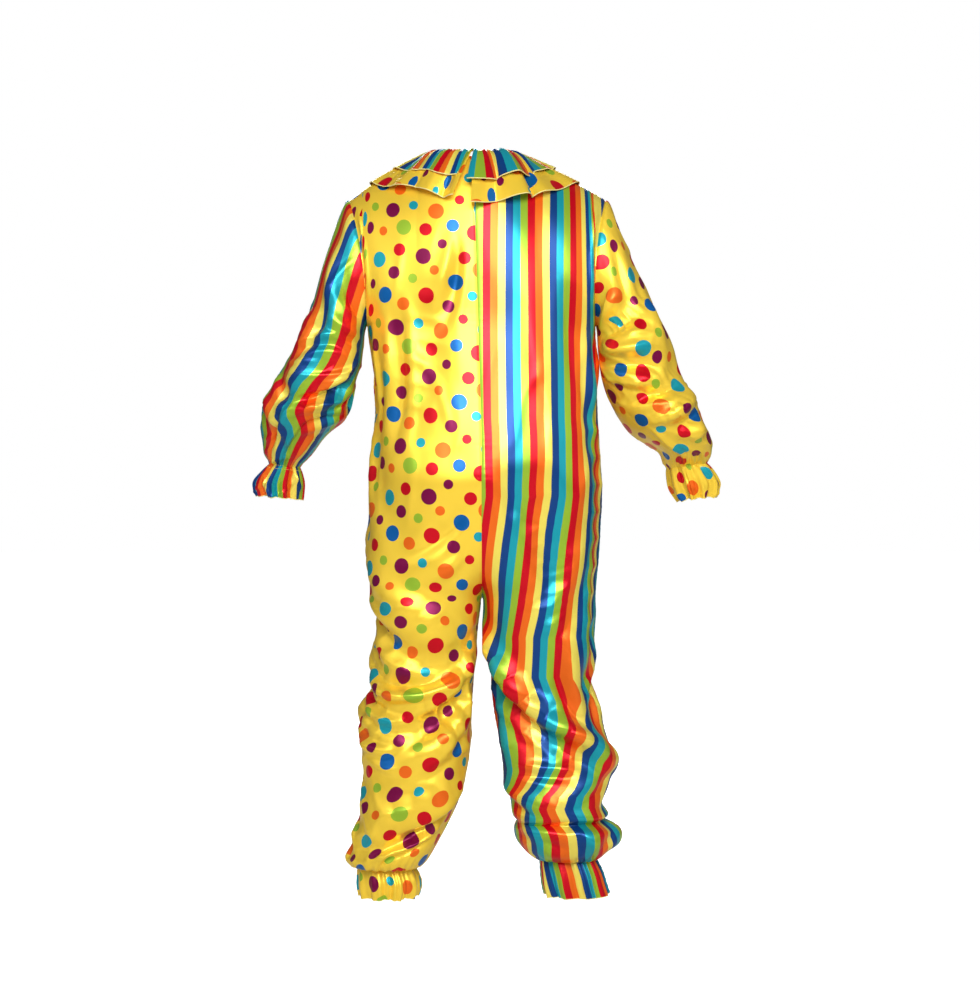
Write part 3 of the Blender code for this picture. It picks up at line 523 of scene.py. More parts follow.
HEM_TURN = 0.009
HEM_FOLD = 0.0016  # how far inside the hem's fold and its turned-in edge lie
HEM_INSIDE = 0.0024
COARSE_GATHERS = 10
COARSE_HEIGHTS = (0.0016, 0.0050)  # of the wide gathers, at the elastic and at the hem
FINE_GATHERS = 31
HEM_EDGE_RADIUS = 0.0009
RUFFLE_EDGE_RADIUS = 0.0011
CUFF_FLAT = 0.265  # cut width of one panel at the ankle
WRIST_FLAT = 0.43  # cut width of a sleeve at the wrist

# ---------------------------------------------------------------- the studio
FLOOR_Z = -1.54
FLOOR_RADIUS = 30
FLOOR_GREY = 0.62
FLOOR_SEEN = 0.95  # how bright the camera sees it, whatever lights it
WHITE = (1, 1, 1)
CAMERA_AT = (-0.0158, 4.5, -0.6228)
FRAME_WIDTH = 980 * 0.001974  # of the picture at the suit's distance

# ---------------------------------------------------------------- the prints
# One repeat of the dots, in millimetres: how far across and down, radius, ink.
DOT_CHART = [
    (14, 26, 15.4, "plum"),
    (60, 12, 12.4, "red"),
    (104, 28, 15.4, "teal"),
    (150, 8, 9.3, "lime"),
    (188, 30, 12.4, "red"),
    (228, 4, 9.3, "plum"),
    (36, 66, 9.3, "lime"),
    (72, 54, 12.4, "plum"),
    (124, 70, 9.3, "plum"),
    (160, 52, 15.4, "orange"),
    (206, 74, 15.4, "blue"),
    (244, 52, 9.3, "orange"),
    (12, 98, 15.4, "red"),
    (56, 112, 12.4, "orange"),
    (92, 94, 15.4, "blue"),
    (138, 116, 12.4, "red"),
    (176, 100, 9.3, "teal"),
    (222, 118, 12.4, "plum"),
    (30, 148, 9.3, "teal"),
    (72, 154, 15.4, "plum"),
    (112, 144, 9.3, "lime"),
    (154, 160, 15.4, "teal"),
    (194, 142, 9.3, "red"),
    (238, 162, 15.4, "orange"),
    (8, 196, 12.4, "red"),
    (50, 190, 15.4, "lime"),
    (94, 194, 9.3, "orange"),
    (128, 184, 12.4, "plum"),
    (168, 204, 15.4, "red"),
    (208, 190, 12.4, "blue"),
]
DOT_REPEAT = (250, 220)
DOT_SPREAD = 1.05
INKS = ("red", "orange", "plum", "blue", "teal", "lime")
STRIPE_ORDER = ("red", "orange", "pale_yellow", "navy", "teal", "lime")


# ---------------------------------------------------------------- form
def blend(low, high, share):
    return low + (high - low) * share


def spline(before, start, end, after, share):
    return 0.5 * (
        2 * start
        + (end - before) * share
        + (2 * before - 5 * start + 4 * end - after) * share**2
        + (3 * start - before - 3 * end + after) * share**3
    )


def between(rows, index, share):
    before = rows[max(index - 1, 0)]
    after = rows[min(index + 2, len(rows) - 1)]
    columns = zip(before, rows[index], rows[index + 1], after)
    return type(rows[0])(*(spline(*column, share) for column in columns))


def spread(rows, outer, step):
    """Table rows with more between them; step(row) is the longest way between two there."""
    found = []
    for index in range(len(rows) - 1):
        far = math.dist(outer(rows[index]), outer(rows[index + 1]))
        parts = max(1, math.ceil(far / step(rows[index])))
        found += [between(rows, index, part / parts) for part in range(parts)]
    return found + [rows[-1]]


def runs_along(points):
    """Distance along each row of points from its first one."""
    steps = np.linalg.norm(np.diff(points, axis=-2), axis=-1)
    start = np.zeros(steps.shape[:-1] + (1,))
    return np.concatenate([start, np.cumsum(steps, axis=-1)], axis=-1)


def runs_down(points):
    """Distance down each column of points from its first one."""
    return runs_along(points.swapaxes(0, 1)).swapaxes(0, 1)


def unit(vectors):
    return vectors / np.maximum(np.linalg.norm(vectors, axis=-1, keepdims=True), 1e-12)


def ramp(values, start, reach):
    """0 up to the start and 1 from the reach past it on. A negative reach runs the other way."""
    return np.clip((values - start) / reach, 0.0, 1.0)


def normals_of(points, closed=False):
    """Smooth normals of a grid of points, (rows, columns, 3)."""
    if closed:
        ringed = np.concatenate([points[:, -2:-1], points, points[:, 1:2]], axis=1)
        across = (ringed[:, 2:] - ringed[:, :-2]) / 2
    else:
        across = np.gradient(points, axis=1)
    down = np.gradient(points, axis=0)
    return unit(np.cross(across, down))


def outward_normals(points, closed=False):
    """Smooth normals of a body's or sleeve's grid of points, turned to its outer side."""
    ways = normals_of(points, closed)
    row = len(points) // 2
    column = points.shape[1] // 2
    if closed:
        agree = ((points[row] - points[row].mean(axis=0)) * ways[row]).sum()
    else:
        agree = points[row, column, 1] * ways[row, column, 1]
    return -ways if agree < 0 else ways


def eased(vectors, rounds):
    """The rows with their unevenness smoothed away, the first and last left where they are."""
    for _ in range(rounds):
        middle = (vectors[:-2] + 2 * vectors[1:-1] + vectors[2:]) / 4
        vectors = np.concatenate([vectors[:1], middle, vectors[-1:]])
    return vectors


def fold_height(folds, around, z, span):
    total = np.zeros_like(z)
    for fold in folds:
        nearest = np.full_like(z, np.inf)
        for part in range(9):
            share = part / 8
            across = (around - blend(fold.around_1, fold.around_2, share)) * span
            up = z - blend(fold.z_1, fold.z_2, share) + fold.sag * 4 * share * (1 - share)
            nearest = np.minimum(nearest, across * across + up * up)
        total += fold.height * np.exp(-nearest / fold.width**2)
    return total


def crease_fields(creases, around, z, span, width_share=1.0):
    """Height of the creases at each place, and how far they move the print there."""
    height = np.zeros_like(z)
    slip = np.zeros_like(z)
    for crease in creases:
        start = np.array((crease.around_1 * span, crease.z_1))
        way = np.array((crease.around_2 * span, crease.z_2)) - start
        length = np.linalg.norm(way)
        way = way / length
        side = np.array((way[1], -way[0])) * (-1 if way[0] < 0 else 1)
        across, up = around * span - start[0], z - start[1]
        along = (across * way[0] + up * way[1]) / length
        off = across * side[0] + up * side[1]
        inside = np.clip(along, 0.0, 1.0)
        off = off - crease.bow * 4 * inside * (1 - inside)
        wide = blend(crease.wide_1, crease.wide_2, inside) * width_share
        share = off / wide
        steep = np.where(share > 0, 1.25 * share, 0.72 * share)
        body = np.exp(-(steep**2)) - 0.30 * np.exp(-(((share - 1.7) / 0.8) ** 2))
        ends = np.sin(np.pi * inside) ** 1.4
        height += crease.height * body * ends
        slip += crease.slip * 0.5 * (1 + np.tanh(share)) * ends
    return height, slip


def rolling(along, down, seed, height, length, upright):
    """Soft uneven waves of about the length, more upright than level."""
    draw = random.Random(seed)
    total = np.zeros_like(along)
    for _ in range(9):
        turn = draw.gauss(0.0, upright)
        scale = length * draw.uniform(0.7, 1.5)
        phase = draw.uniform(0, 2 * math.pi)
        across = along * math.cos(turn) + down * math.sin(turn)
        total += np.sin(2 * math.pi * across / scale + phase)
    return height * total / 3


def drag_lines(along, down, seed, lines):
    """Uneven creases that mostly run one way and come and go, for each row of a table of them. Slant 0 is
    upright, and more of it turns their lower ends outwards."""
    total = np.zeros_like(along)
    for number, slant, spacing, height, reach, bending in lines:
        draw = random.Random(seed + number)
        across = along * math.cos(slant) + down * math.sin(slant)
        run = down * math.cos(slant) - along * math.sin(slant)
        bend = np.zeros_like(along)
        for _ in range(3):
            near, far = draw.uniform(0.12, 0.3), draw.uniform(0.15, 0.4)
            swing = draw.uniform(0.25, 0.5)
            bend += swing * np.sin(2 * np.pi * (run / near + across / far) + draw.uniform(0, 6.3))
        phase = across / spacing + bending * bend
        line = np.round(phase)
        own = np.modf(np.abs(np.sin(line * 12.9898 + seed + number) * 43758.5453))[0]
        other = np.modf(np.abs(np.sin(line * 78.233 + seed + number) * 12543.123))[0]
        crest = np.exp(-((np.sin(np.pi * phase) / 0.42) ** 2))
        fade = np.clip(1.3 * np.sin(2 * np.pi * (run / (2 * reach * (0.6 + own)) + other)), 0.0, 1.0)
        total += height * crest * fade**1.4 * (own + 0.3)
    return total


def scattered(seed, kinds):
    """Small creases drawn at random between two corners (around, z) of a piece, for each row of a table."""
    found = []
    for count, number, low, high, slant, reach, wide, height in kinds:
        draw = random.Random(seed + number)
        for _ in range(count):
            around = draw.uniform(low[0], high[0])
            z = draw.uniform(low[1], high[1])
            turn = draw.gauss(slant, 0.35)
            far = draw.uniform(0.5, 1.0) * reach
            end = (around + far * math.cos(turn) / HALF_SPAN, z + far * math.sin(turn))
            tall = height * draw.choice((-1, 1)) * draw.uniform(0.4, 1.0)
            broad = wide * draw.uniform(0.7, 1.3)
            bow = 0.1 * far * draw.uniform(-1, 1)
            found.append(Crease(around, z, *end, broad, broad, tall, bow))
    return found


def along_path(at, run, path):
    """The places on a path at these distances along it."""
    return np.stack([np.interp(at, run, path[:, axis]) for axis in range(3)], axis=-1)


def section(level, face, columns):
    """One level row of a half body, and the way out at each of its points."""
    closing = min(max((CROTCH_TOP_Z - level.z) / (CROTCH_TOP_Z - CROTCH_Z), 0.0), 1.0)
    inner = max(level.inner, closing * 0.0007)
    half_width = (level.outer - inner) / (1 + closing)
    middle = level.outer - half_width
    depth = level.back if face > 0 else level.front
    first = math.acos(closing ** (SQUARENESS / 2))
    angle = np.linspace(first, math.pi, 241)
    across = np.sign(np.cos(angle)) * np.abs(np.cos(angle)) ** (2 / SQUARENESS)
    back = np.abs(np.sin(angle)) ** (2 / SQUARENESS)
    arc = np.stack([middle - half_width * across, face * depth * back, np.full_like(angle, level.z)], axis=-1)
    run = runs_along(arc)
    row = along_path(np.linspace(0.0, run[-1], columns + 1), run, arc)
    return row, unit(np.stack([row[:, 0] - middle, row[:, 1], np.zeros(columns + 1)], axis=-1))


def neckline(angle, face):
    """Places on the neckline, at these angles round it from the centre back or on round from there."""
    depth = NECK_BACK if face == BACK else NECK_FRONT
    centre_z = NECK_BACK_Z if face == BACK else NECK_FRONT_Z
    z = blend(centre_z, NECK_POINT_Z, np.sin(angle) ** 2)
    return np.stack([NECK_HALF_WIDTH * np.sin(angle), face * depth * np.abs(np.cos(angle)), z], axis=-1)


def neck_or_shoulder(half, face, share):
    neck = neckline(np.pi / 2 * np.minimum(share / NECK_SHARE, 1.0), face)
    out = np.maximum(share - NECK_SHARE, 0.0) / (1 - NECK_SHARE)
    shoulder = np.stack(
        [
            blend(NECK_HALF_WIDTH, half.tip_x, out),
            np.zeros_like(out),
            blend(NECK_POINT_Z, SHOULDER_TIP_Z, out) + SHOULDER_ROUND * np.sin(np.pi * out),
        ],
        axis=-1,
    )
    return np.where((share < NECK_SHARE)[:, None], neck, shoulder)


def armhole(half, face, height):
    swing = 2 * math.sqrt(max(height * (1 - height), 0.0))
    return np.array(
        (
            blend(half.body[0].outer, half.tip_x, height) - ARMHOLE_DIP * swing**2,
            face * ARMHOLE_HALF_DEPTH * swing,
            blend(UNDERARM_Z, SHOULDER_TIP_Z, height),
        )
    )


def yoke(half, face, columns, count):
    """Rows of a panel from its shoulder and neckline down to just above the underarm."""
    share = np.linspace(0.0, 1.0, columns + 1)
    bottom, _ = section(half.body[0], face, columns)
    top = neck_or_shoulder(half, face, share)
    rows = []
    for index in range(count):
        angle = math.pi / 2 * (1 - index / count)
        inward = 1 - math.cos(angle) ** (2 / YOKE_ROUND)
        height = math.sin(angle) ** (2 / YOKE_ROUND)
        row = bottom + (top - bottom) * np.array((inward, inward, height))
        row += (armhole(half, face, height) - row[-1]) * (share**ARMHOLE_REACH)[:, None]
        rows.append(row)
    return np.array(rows)


def body_step(level):
    return BODY_STEP if level.z > BLOUSE_FROM_Z else BLOUSE_STEP


def gathers(turn, seed):
    """Uneven gathers round a cuff, as a share of their height."""
    draw = random.Random(seed)
    swings = (draw.uniform(0.3, 0.9) * np.sin(2 * np.pi * n * turn + draw.uniform(0, 6.3)) for n in (2, 3, 5))
    drift = sum(swings)
    fine = np.cos(2 * np.pi * FINE_GATHERS * turn + drift * 1.6)
    swell = 0.65 + 0.35 * np.cos(2 * np.pi * 4 * turn + draw.uniform(0, 6.3))
    return fine * swell


def gather_relief(down, turn, cuff, seed, reach, rise, low, high):
    """How far the gathers over and below an elastic stand out. Its cuff starts at the row of this number."""
    over = down[cuff - 1, 0] - down
    below = np.clip((down - down[cuff, 0]) / (down[-1, 0] - down[cuff, 0]), 0.0, 1.0)
    strength = np.exp(-(np.maximum(over, 0.0) / reach))
    strength[cuff:] = 1.0
    risen = ramp(over, 0.0, rise)
    risen[cuff:] = 0.0
    puff = strength * (low + high * np.minimum(risen + below * 1.5, 1.0))
    coarse = blend(*COARSE_HEIGHTS, below) * np.cos(2 * np.pi * COARSE_GATHERS * turn)
    coarse[:cuff] = 0.0
    return puff * gathers(turn, seed) + coarse


def lean_over(points):
    share = np.maximum((points[..., 2] - LEAN_FROM_Z) / (NECK_POINT_Z - LEAN_FROM_Z), 0.0)
    points[..., 0] += LEAN * share
    return points


def seam_relief(distance, along, seed):
    """A seam's dip and its puckers, a distance away from it."""
    draw = random.Random(seed)
    drift = sum(0.5 * np.sin(along / length + draw.uniform(0, 6.3)) for length in (0.071, 0.043))
    pucker = np.sin(2 * np.pi * along / PUCKER_LENGTH + 2.2 * drift) * (0.7 + 0.3 * drift)
    dip = -SEAM_DIP * np.exp(-((distance / SEAM_DIP_WIDTH) ** 2))
    rise = np.minimum(distance / 0.003, 1.0)
    return dip + PUCKER_HEIGHT * pucker * rise * np.exp(-distance / PUCKER_REACH)


def into_armhole(points, towards_middle):
    """The way out of an armhole's seam allowance: along the sleeve, and partly from the hole's middle."""
    middle = (UNDERARM_Z + SHOULDER_TIP_Z) / 2
    spoke = unit((points - (0, 0, middle)) * (0, 1, 0.6))
    return unit(spoke * towards_middle + (1, 0, 0))


def turned_in(points, ways, uv, index, axis):
    """The grids with a row or column more behind their first or last one, as a seam allowance lies."""
    grids = []
    for grid, step in ((points, ways.take([index], axis) * ALLOWANCE), (ways, 0), (uv, 0)):
        extra = grid.take([index], axis) - step
        grids.append(np.concatenate([extra, grid] if index == 0 else [grid, extra], axis=axis))
    return grids


def hemmed(points, uv, edge_way, inner_way):
    """The grids with the fold of the hem and the turned-in edge below their last row."""
    fold = points[-1] - edge_way * HEM_FOLD
    inside = points[-4] - inner_way * HEM_INSIDE
    uv = np.concatenate([uv, uv[-1:], uv[-1:] + (0, HEM_TURN)])
    return np.concatenate([points, fold[None], inside[None]]), uv


def panel_form(half, face):
    """Points of one long panel and the way out at each, and the rows at which its body and its cuff start."""
    rows = yoke(half, face, PANEL_COLUMNS, YOKE_FINENESS)
    down = runs_down(rows).mean(axis=1)
    top = rows[np.unique(np.searchsorted(down, np.linspace(0.0, down[-1], YOKE_ROWS)))]
    levels = spread(half.body, lambda row: (row.outer, row.z), body_step)
    cuffs = spread(half.cuff, lambda row: (row.outer, row.z), lambda row: BLOUSE_STEP)
    made = [section(level, face, PANEL_COLUMNS) for level in levels + cuffs]
    lower = np.array([row for row, _ in made])
    near = np.array([LEG_BLEND_Z[0] < level.z < LEG_BLEND_Z[1] for level in levels + cuffs])
    lower[near] = eased(lower[near], LEG_BLEND_ROUNDS)
    points = np.concatenate([top, lower])
    outs = np.array([made[0][1]] * len(top) + [out for _, out in made])
    near = slice(len(top) - YOKE_BLEND_ROWS, len(top) + YOKE_BLEND_ROWS)
    clear_of_armhole = ramp(PANEL_SHARES, 0.92, -0.20)[:, None]
    points[near] = blend(points[near], eased(points[near], YOKE_BLEND_ROUNDS), clear_of_armhole)
    return points, outs, len(top), len(top) + len(levels)


def panel_print(half, face, points, body):
    """How far across the print, and how far down it, each point of a panel is cut."""
    middle = PANEL_COLUMNS // 2
    level = points[..., 2].mean(axis=1)
    u = runs_along(points)
    bottom_run = u[body].copy()
    bottom_x = section(half.body[0], face, PANEL_COLUMNS)[0][:, 0]
    grain_z, grain_x = np.array(half.grain)[::-1].T
    for index, line in enumerate(points[..., 0]):
        goal = np.interp(level[index], grain_z, grain_x)
        past = line >= goal
        front = np.argmax(past) if past.any() else PANEL_COLUMNS
        if index < body:
            u[index] = np.interp(line, bottom_x, bottom_run) + np.maximum(line - bottom_x[-1], 0.0)
            base = np.interp(goal, bottom_x, bottom_run)
        elif front == 0:
            base = u[index, 0] - (line[0] - goal)
        else:
            low, high = line[front - 1], line[front]
            base = blend(u[index, front - 1], u[index, front], (goal - low) / max(high - low, 1e-6))
        u[index] -= base
    blouse = np.flatnonzero(level < PRINT_STRAIGHT_Z)
    u[blouse] += u[blouse[0] - 1, middle] - u[blouse, middle][:, None]
    width = u[:, -1:] - u[:, :1]
    wider = np.maximum(CUFF_FLAT / np.maximum(width, 1e-6), 1.0)
    wider[:body] = 1.0
    u = blend(u[:, middle : middle + 1], u, wider)
    steps = np.linalg.norm(np.diff(points, axis=0), axis=-1)
    steps[body:] = steps[body:].mean(axis=1, keepdims=True)
    v = np.concatenate([np.zeros((1, PANEL_COLUMNS + 1)), np.cumsum(steps, axis=0)])
    return u, v - (v[body] - v[body].max())


def panel_relief(half, around, z, u, v, to_side, cuff, seed):
    """How far creases, gathers and seams raise each point of a panel, and how far they move its print."""
    own = 900 + half.side
    aside = (around - 1) * HALF_SPAN
    from_middle = u - u[:, :1]
    beside_middle = ramp(from_middle, 0.0, 0.04)
    above_cuff = ramp(z, CUFF_CALM_Z, 0.05)
    leg = ramp(z, -0.78, -0.12)
    chest = ramp(z, -0.74, 0.12) * ramp(z, -0.10, -0.10)
    height, slip = crease_fields(half.creases, around, z, HALF_SPAN, half.look.crease_width)
    height *= np.clip(from_middle / 0.03, 0.15, 1.0)
    height += rolling(aside, z, own, *PANEL_ROLLING) * above_cuff * beside_middle
    small = drag_lines(aside, z, own, LEG_DRAGS) * leg * above_cuff * beside_middle
    fine, _ = crease_fields(scattered(own, PANEL_SCATTER), around, z, HALF_SPAN)
    height += (small + fine * ramp(from_middle, 0.0, 0.02)) * half.look.small_share
    height += drag_lines(aside, z, own, CHEST_DRAGS) * chest * beside_middle
    height += gather_relief(v, around / 2, cuff, seed + 7 * half.side, *ANKLE_GATHERS)

    by_armhole = ramp(z, UNDERARM_Z - 0.03, 0.03)
    height *= 1 - by_armhole * (1 - ramp(to_side, 0.0, ARMHOLE_CALM) ** 1.5)
    overhang = np.exp(-(((to_side - OVERHANG_AT) / OVERHANG_WIDTH) ** 2))
    high = ramp(z, UNDERARM_Z + 0.04, 0.05) * ramp(z, SHOULDER_TIP_Z - 0.015, -0.03)
    height += OVERHANG_HEIGHT * overhang * high
    height += seam_relief(from_middle, v, seed + 11)
    height += seam_relief(np.maximum(to_side, 0.0), v, seed + 13)
    height += seam_relief(v - v[:1], u, seed + 17) * (PANEL_SHARES >= NECK_SHARE)
    return height, slip


def panel(half, face, seed):
    """Points and print coordinates of one long panel, from its shoulder to its ankle hem. Also its hem's
    path, and its two rows of stitches with the ways out there."""
    points, outs, body, cuff = panel_form(half, face)
    around = np.broadcast_to(PANEL_SHARES if face == BACK else 2 - PANEL_SHARES, points.shape[:2])
    z = points[..., 2].copy()
    run = runs_along(points)
    u, v = panel_print(half, face, points, body)
    push = fold_height(half.folds, around, z, HALF_SPAN) * np.minimum(1.0, FOLD_FADE * PANEL_SHARES)
    push *= ramp(z, UNDERARM_Z + 0.10, -0.10)
    push[cuff:] = 0.0
    points = points + outs * push[..., None]
    height, slip = panel_relief(half, around, z, u, v, run[:, -1:] - run, cuff, seed)
    points = points + outward_normals(points) * height[..., None]
    points[..., 0] = np.maximum(points[..., 0], NEAREST_X)
    points[z[:, 0] > CROTCH_Z, 0, 0] = SEAM_X
    uv = np.stack([u + slip, (0 if face == BACK else FRONT_PRINT_DOWN) - v], axis=-1)

    ways = outward_normals(points)
    ways[:, 0] = unit(ways[:, 0] * (0, 1, 1))
    ways[:, -1] = unit(ways[:, -1] * (1, 0, 1))
    in_armhole = z[:, -1] > UNDERARM_Z
    ways[in_armhole, -1] = into_armhole(points[in_armhole, -1], PANEL_TUCK)
    for index, axis in ((0, 1), (-1, 1), (0, 0)):
        points, ways, uv = turned_in(points, ways, uv, index, axis)
    points, uv = hemmed(points, uv, ways[-1], ways[-4])
    points[..., 0] *= half.side
    ways[..., 0] *= half.side
    points = lean_over(points)
    sewn = [cuff + 1, cuff + 1 + CASING_ROWS]
    return points, uv, points[-3, 1:-1], points[sewn, 1:-1], ways[sewn, 1:-1]


def sleeve_ring(level, turn):
    """One ring of a sleeve, with the way out and the plain height at each of its points."""
    outer = np.array((level.outer_x, 0, level.outer_z))
    inner = np.array((level.inner_x, 0, level.inner_z))
    middle = (outer + inner) / 2
    reach = (inner - outer) / 2
    angle = 2 * np.pi * turn[:, None]
    spoke = reach * np.cos(angle) + np.array((0, level.depth, 0)) * np.sin(angle)
    return middle + (0, level.mid_y, 0) + spoke, unit(spoke), middle[2] + reach[2] * np.cos(angle[:, 0])


def sleeve_cap(half, turn, first, second):
    """The rows of a sleeve between the armhole and its first ring, curved to run on into the second one."""
    hole = []
    for one in 2 * np.pi * turn:
        height = (1 - math.cos(one)) / 2
        hole.append(armhole(half, BACK if math.sin(one) >= 0 else FRONT, height))
        hole[-1][0] += blend(0.0013, 0.0006, height)
    hole = np.array(hole)
    upper = (1 - np.cos(2 * np.pi * turn)) / 2
    leave = np.array((1.0, 0.0, 0.15)) * 0.035 * (0.25 + 0.75 * upper)[:, None]
    arrive = unit(second - first) * np.linalg.norm(first - hole, axis=-1)[:, None]
    rows = []
    for t in np.arange(CAP_ROWS) / CAP_ROWS:
        start = (2 * t**3 - 3 * t**2 + 1) * hole + (t**3 - 2 * t**2 + t) * leave
        rows.append(start + (3 * t**2 - 2 * t**3) * first + (t**3 - t**2) * arrive)
    return np.array(rows)


def sleeve_relief(half, turn, z, u, v, from_hole, wrist, seed):
    """How far creases, gathers and the seam raise each point of a sleeve, and how far they move its print."""
    height, slip = crease_fields(half.sleeve_creases, turn, z, SLEEVE_SPAN)
    fine, _ = crease_fields(scattered(seed, SLEEVE_SCATTER), turn, z, SLEEVE_SPAN)
    upper = drag_lines(u, v, seed, UPPER_ARM_DRAGS)
    forearm = drag_lines(u, v, seed, FOREARM_DRAGS)
    height += rolling(u, v, seed, *SLEEVE_ROLLING) + blend(upper, forearm, ramp(z, -0.26, -0.10)) + fine
    height *= ramp(np.minimum(turn, 1 - turn), 0.0, 0.06) * ramp(from_hole, 0.0, 0.05)
    height += gather_relief(v, turn, wrist, seed + 7, *WRIST_GATHERS)
    return height + seam_relief(from_hole, u, seed + 17), slip


def sleeve(half, seed):
    """Points and print coordinates of one sleeve, from the armhole to the wrist hem. The last column is the
    first one again, for the print's sake. Also its hem's path, and its rows of stitches with the ways out."""
    middle = SLEEVE_COLUMNS // 2
    turn = np.linspace(0.0, 1.0, SLEEVE_COLUMNS + 1)
    levels = spread(half.sleeve, lambda row: (row.outer_x, row.outer_z), lambda row: SLEEVE_STEP)
    wrists = spread(half.wrist, lambda row: (row.outer_x, row.outer_z), lambda row: WRIST_STEP)
    made = [sleeve_ring(level, turn) for level in levels + wrists]
    rings, spokes, heights = (np.array(column) for column in zip(*made))
    cap = sleeve_cap(half, turn, rings[0], rings[1])
    wrist = CAP_ROWS + len(levels)
    points = np.concatenate([cap, rings])
    z = np.concatenate([cap[..., 2], heights])
    around = np.broadcast_to(turn, z.shape)
    from_hole = runs_down(points)
    v = from_hole - (from_hole[wrist] - from_hole[wrist].mean())
    slanted = np.linalg.norm(np.diff(points, axis=1), axis=-1)
    level_steps = np.sqrt(np.maximum(slanted**2 - np.diff(v, axis=1) ** 2, (0.35 * slanted) ** 2))
    run = np.concatenate([np.zeros((len(points), 1)), np.cumsum(level_steps, axis=1)], axis=1)
    u = (run[:, middle : middle + 1] - run) * np.maximum(WRIST_FLAT / run[:, -1:], 1.0)

    push = fold_height(half.sleeve_folds, around, z, SLEEVE_SPAN)
    push[:CAP_ROWS] *= np.linspace(0.0, 1.0, CAP_ROWS)[:, None]
    push[wrist:] = 0.0
    points[:CAP_ROWS] += spokes[0] * push[:CAP_ROWS, :, None]
    points[CAP_ROWS:] += spokes * push[CAP_ROWS:, :, None]
    height, slip = sleeve_relief(half, around, z, u, v, from_hole, wrist, seed)
    points += outward_normals(points, closed=True) * height[..., None]
    points[:, -1] = points[:, 0]
    uv = np.stack([u + slip + SLEEVE_PRINT_ASIDE, -v], axis=-1)

    ways = outward_normals(points, closed=True)
    inside = points[0] - into_armhole(points[0], SLEEVE_TUCK) * ALLOWANCE
    points = np.concatenate([inside[None], points])
    uv = np.concatenate([uv[:1], uv])
    points, uv = hemmed(points, uv, ways[-1], ways[-3])
    ways = np.concatenate([ways[:1], ways])
    points[..., 0] *= half.side
    ways[..., 0] *= half.side
    points = lean_over(points)
    sewn = [wrist + 1, wrist + 1 + CASING_ROWS]
    return points, uv, points[-3, :-1], points[sewn], ways[sewn]


def shoulders():
    """The upper body as one smooth surface, for the ruffles to lie on."""
    points = []
    faces = []
    for half in (LEFT, RIGHT):
        for face in (BACK, FRONT):
            rows = yoke(half, face, 40, 28)
            extra = np.array([section(level, face, 40)[0] for level in half.body[:2]])
            rows = np.concatenate([rows, extra])
            rows[..., 0] = np.maximum(rows[..., 0], SEAM_GAP / 2) * half.side
            first = len(points)
            points += [Vector(point) for point in rows.reshape(-1, 3)]
            wide = rows.shape[1]
            for row in range(len(rows) - 1):
                for column in range(wide - 1):
                    at = first + row * wide + column
                    corners = (at, at + 1, at + wide + 1, at + wide)
                    faces.append(corners[:: half.side * face])
    return BVHTree.FromPolygons(points, faces)


def laid_path(smooth, start, toward, steps, step):
    """Places and normals down the shoulders, from the neckline at one angle round it towards another."""
    heading = Vector((math.sin(toward), math.cos(toward), 0))
    point = Vector(neckline(start, BACK if math.cos(start) >= 0 else FRONT))
    places = []
    for _ in range(steps + 1):
        nearest, normal, _, _ = smooth.find_nearest(point)
        places.append((nearest[:], normal[:]))
        heading = (heading - normal * heading.dot(normal)).normalized()
        point = nearest + heading * step
    return places


def wander(angle, seed, counts):
    """A smooth uneven line round the neck, within about 1 either way."""
    draw = random.Random(seed)
    swings = (np.sin(n * angle + draw.uniform(0, 2 * math.pi)) * draw.uniform(0.6, 1.2) for n in counts)
    return sum(swings) / len(counts)


def hump(angle, centre, wide):
    return np.exp(-(((angle - centre) / wide) ** 2))


def by_shoulders(angle, wide):
    return hump(angle, math.pi / 2, wide) + hump(angle, 3 * math.pi / 2, wide)


def liveliness(angle):
    """The waves are low behind the wearer's left shoulder and tall to the right of the opening."""
    return 1 - 0.62 * hump(angle, 0.70, 0.55) + 0.45 * hump(angle, 2 * math.pi - 0.55, 0.5)


def wave(angle, phase, tall, seed, reach):
    """How far a ruffle stands off, more towards its outer edge, and the turn of its waves at each angle."""
    turn = RUFFLE_WAVES * angle + phase + 1.5 * wander(angle, seed + 1, (3, 5, 8))
    crest = (0.5 + 0.5 * np.cos(turn)) ** 1.2
    uneven = liveliness(angle) * (1 + 0.40 * wander(angle, seed, (4, 7, 9, 13)))
    return tall * crest * uneven * (1 - 0.8 * by_shoulders(angle, 0.5)) * reach, turn


def flutes(angle, distance, seed):
    """The narrow gathers at a ruffle's seam, which die out down it."""
    wide = 0.0019 * np.cos(3.1 * RUFFLE_WAVES * angle + 3.0 * wander(angle, seed + 2, (4, 6)))
    narrow = 0.0008 * np.cos(6.7 * RUFFLE_WAVES * angle + 3.0 * wander(angle, seed + 5, (5, 7)))
    return wide * (0.25 + 0.75 * math.exp(-distance / 0.035)) + narrow * math.exp(-distance / 0.02)


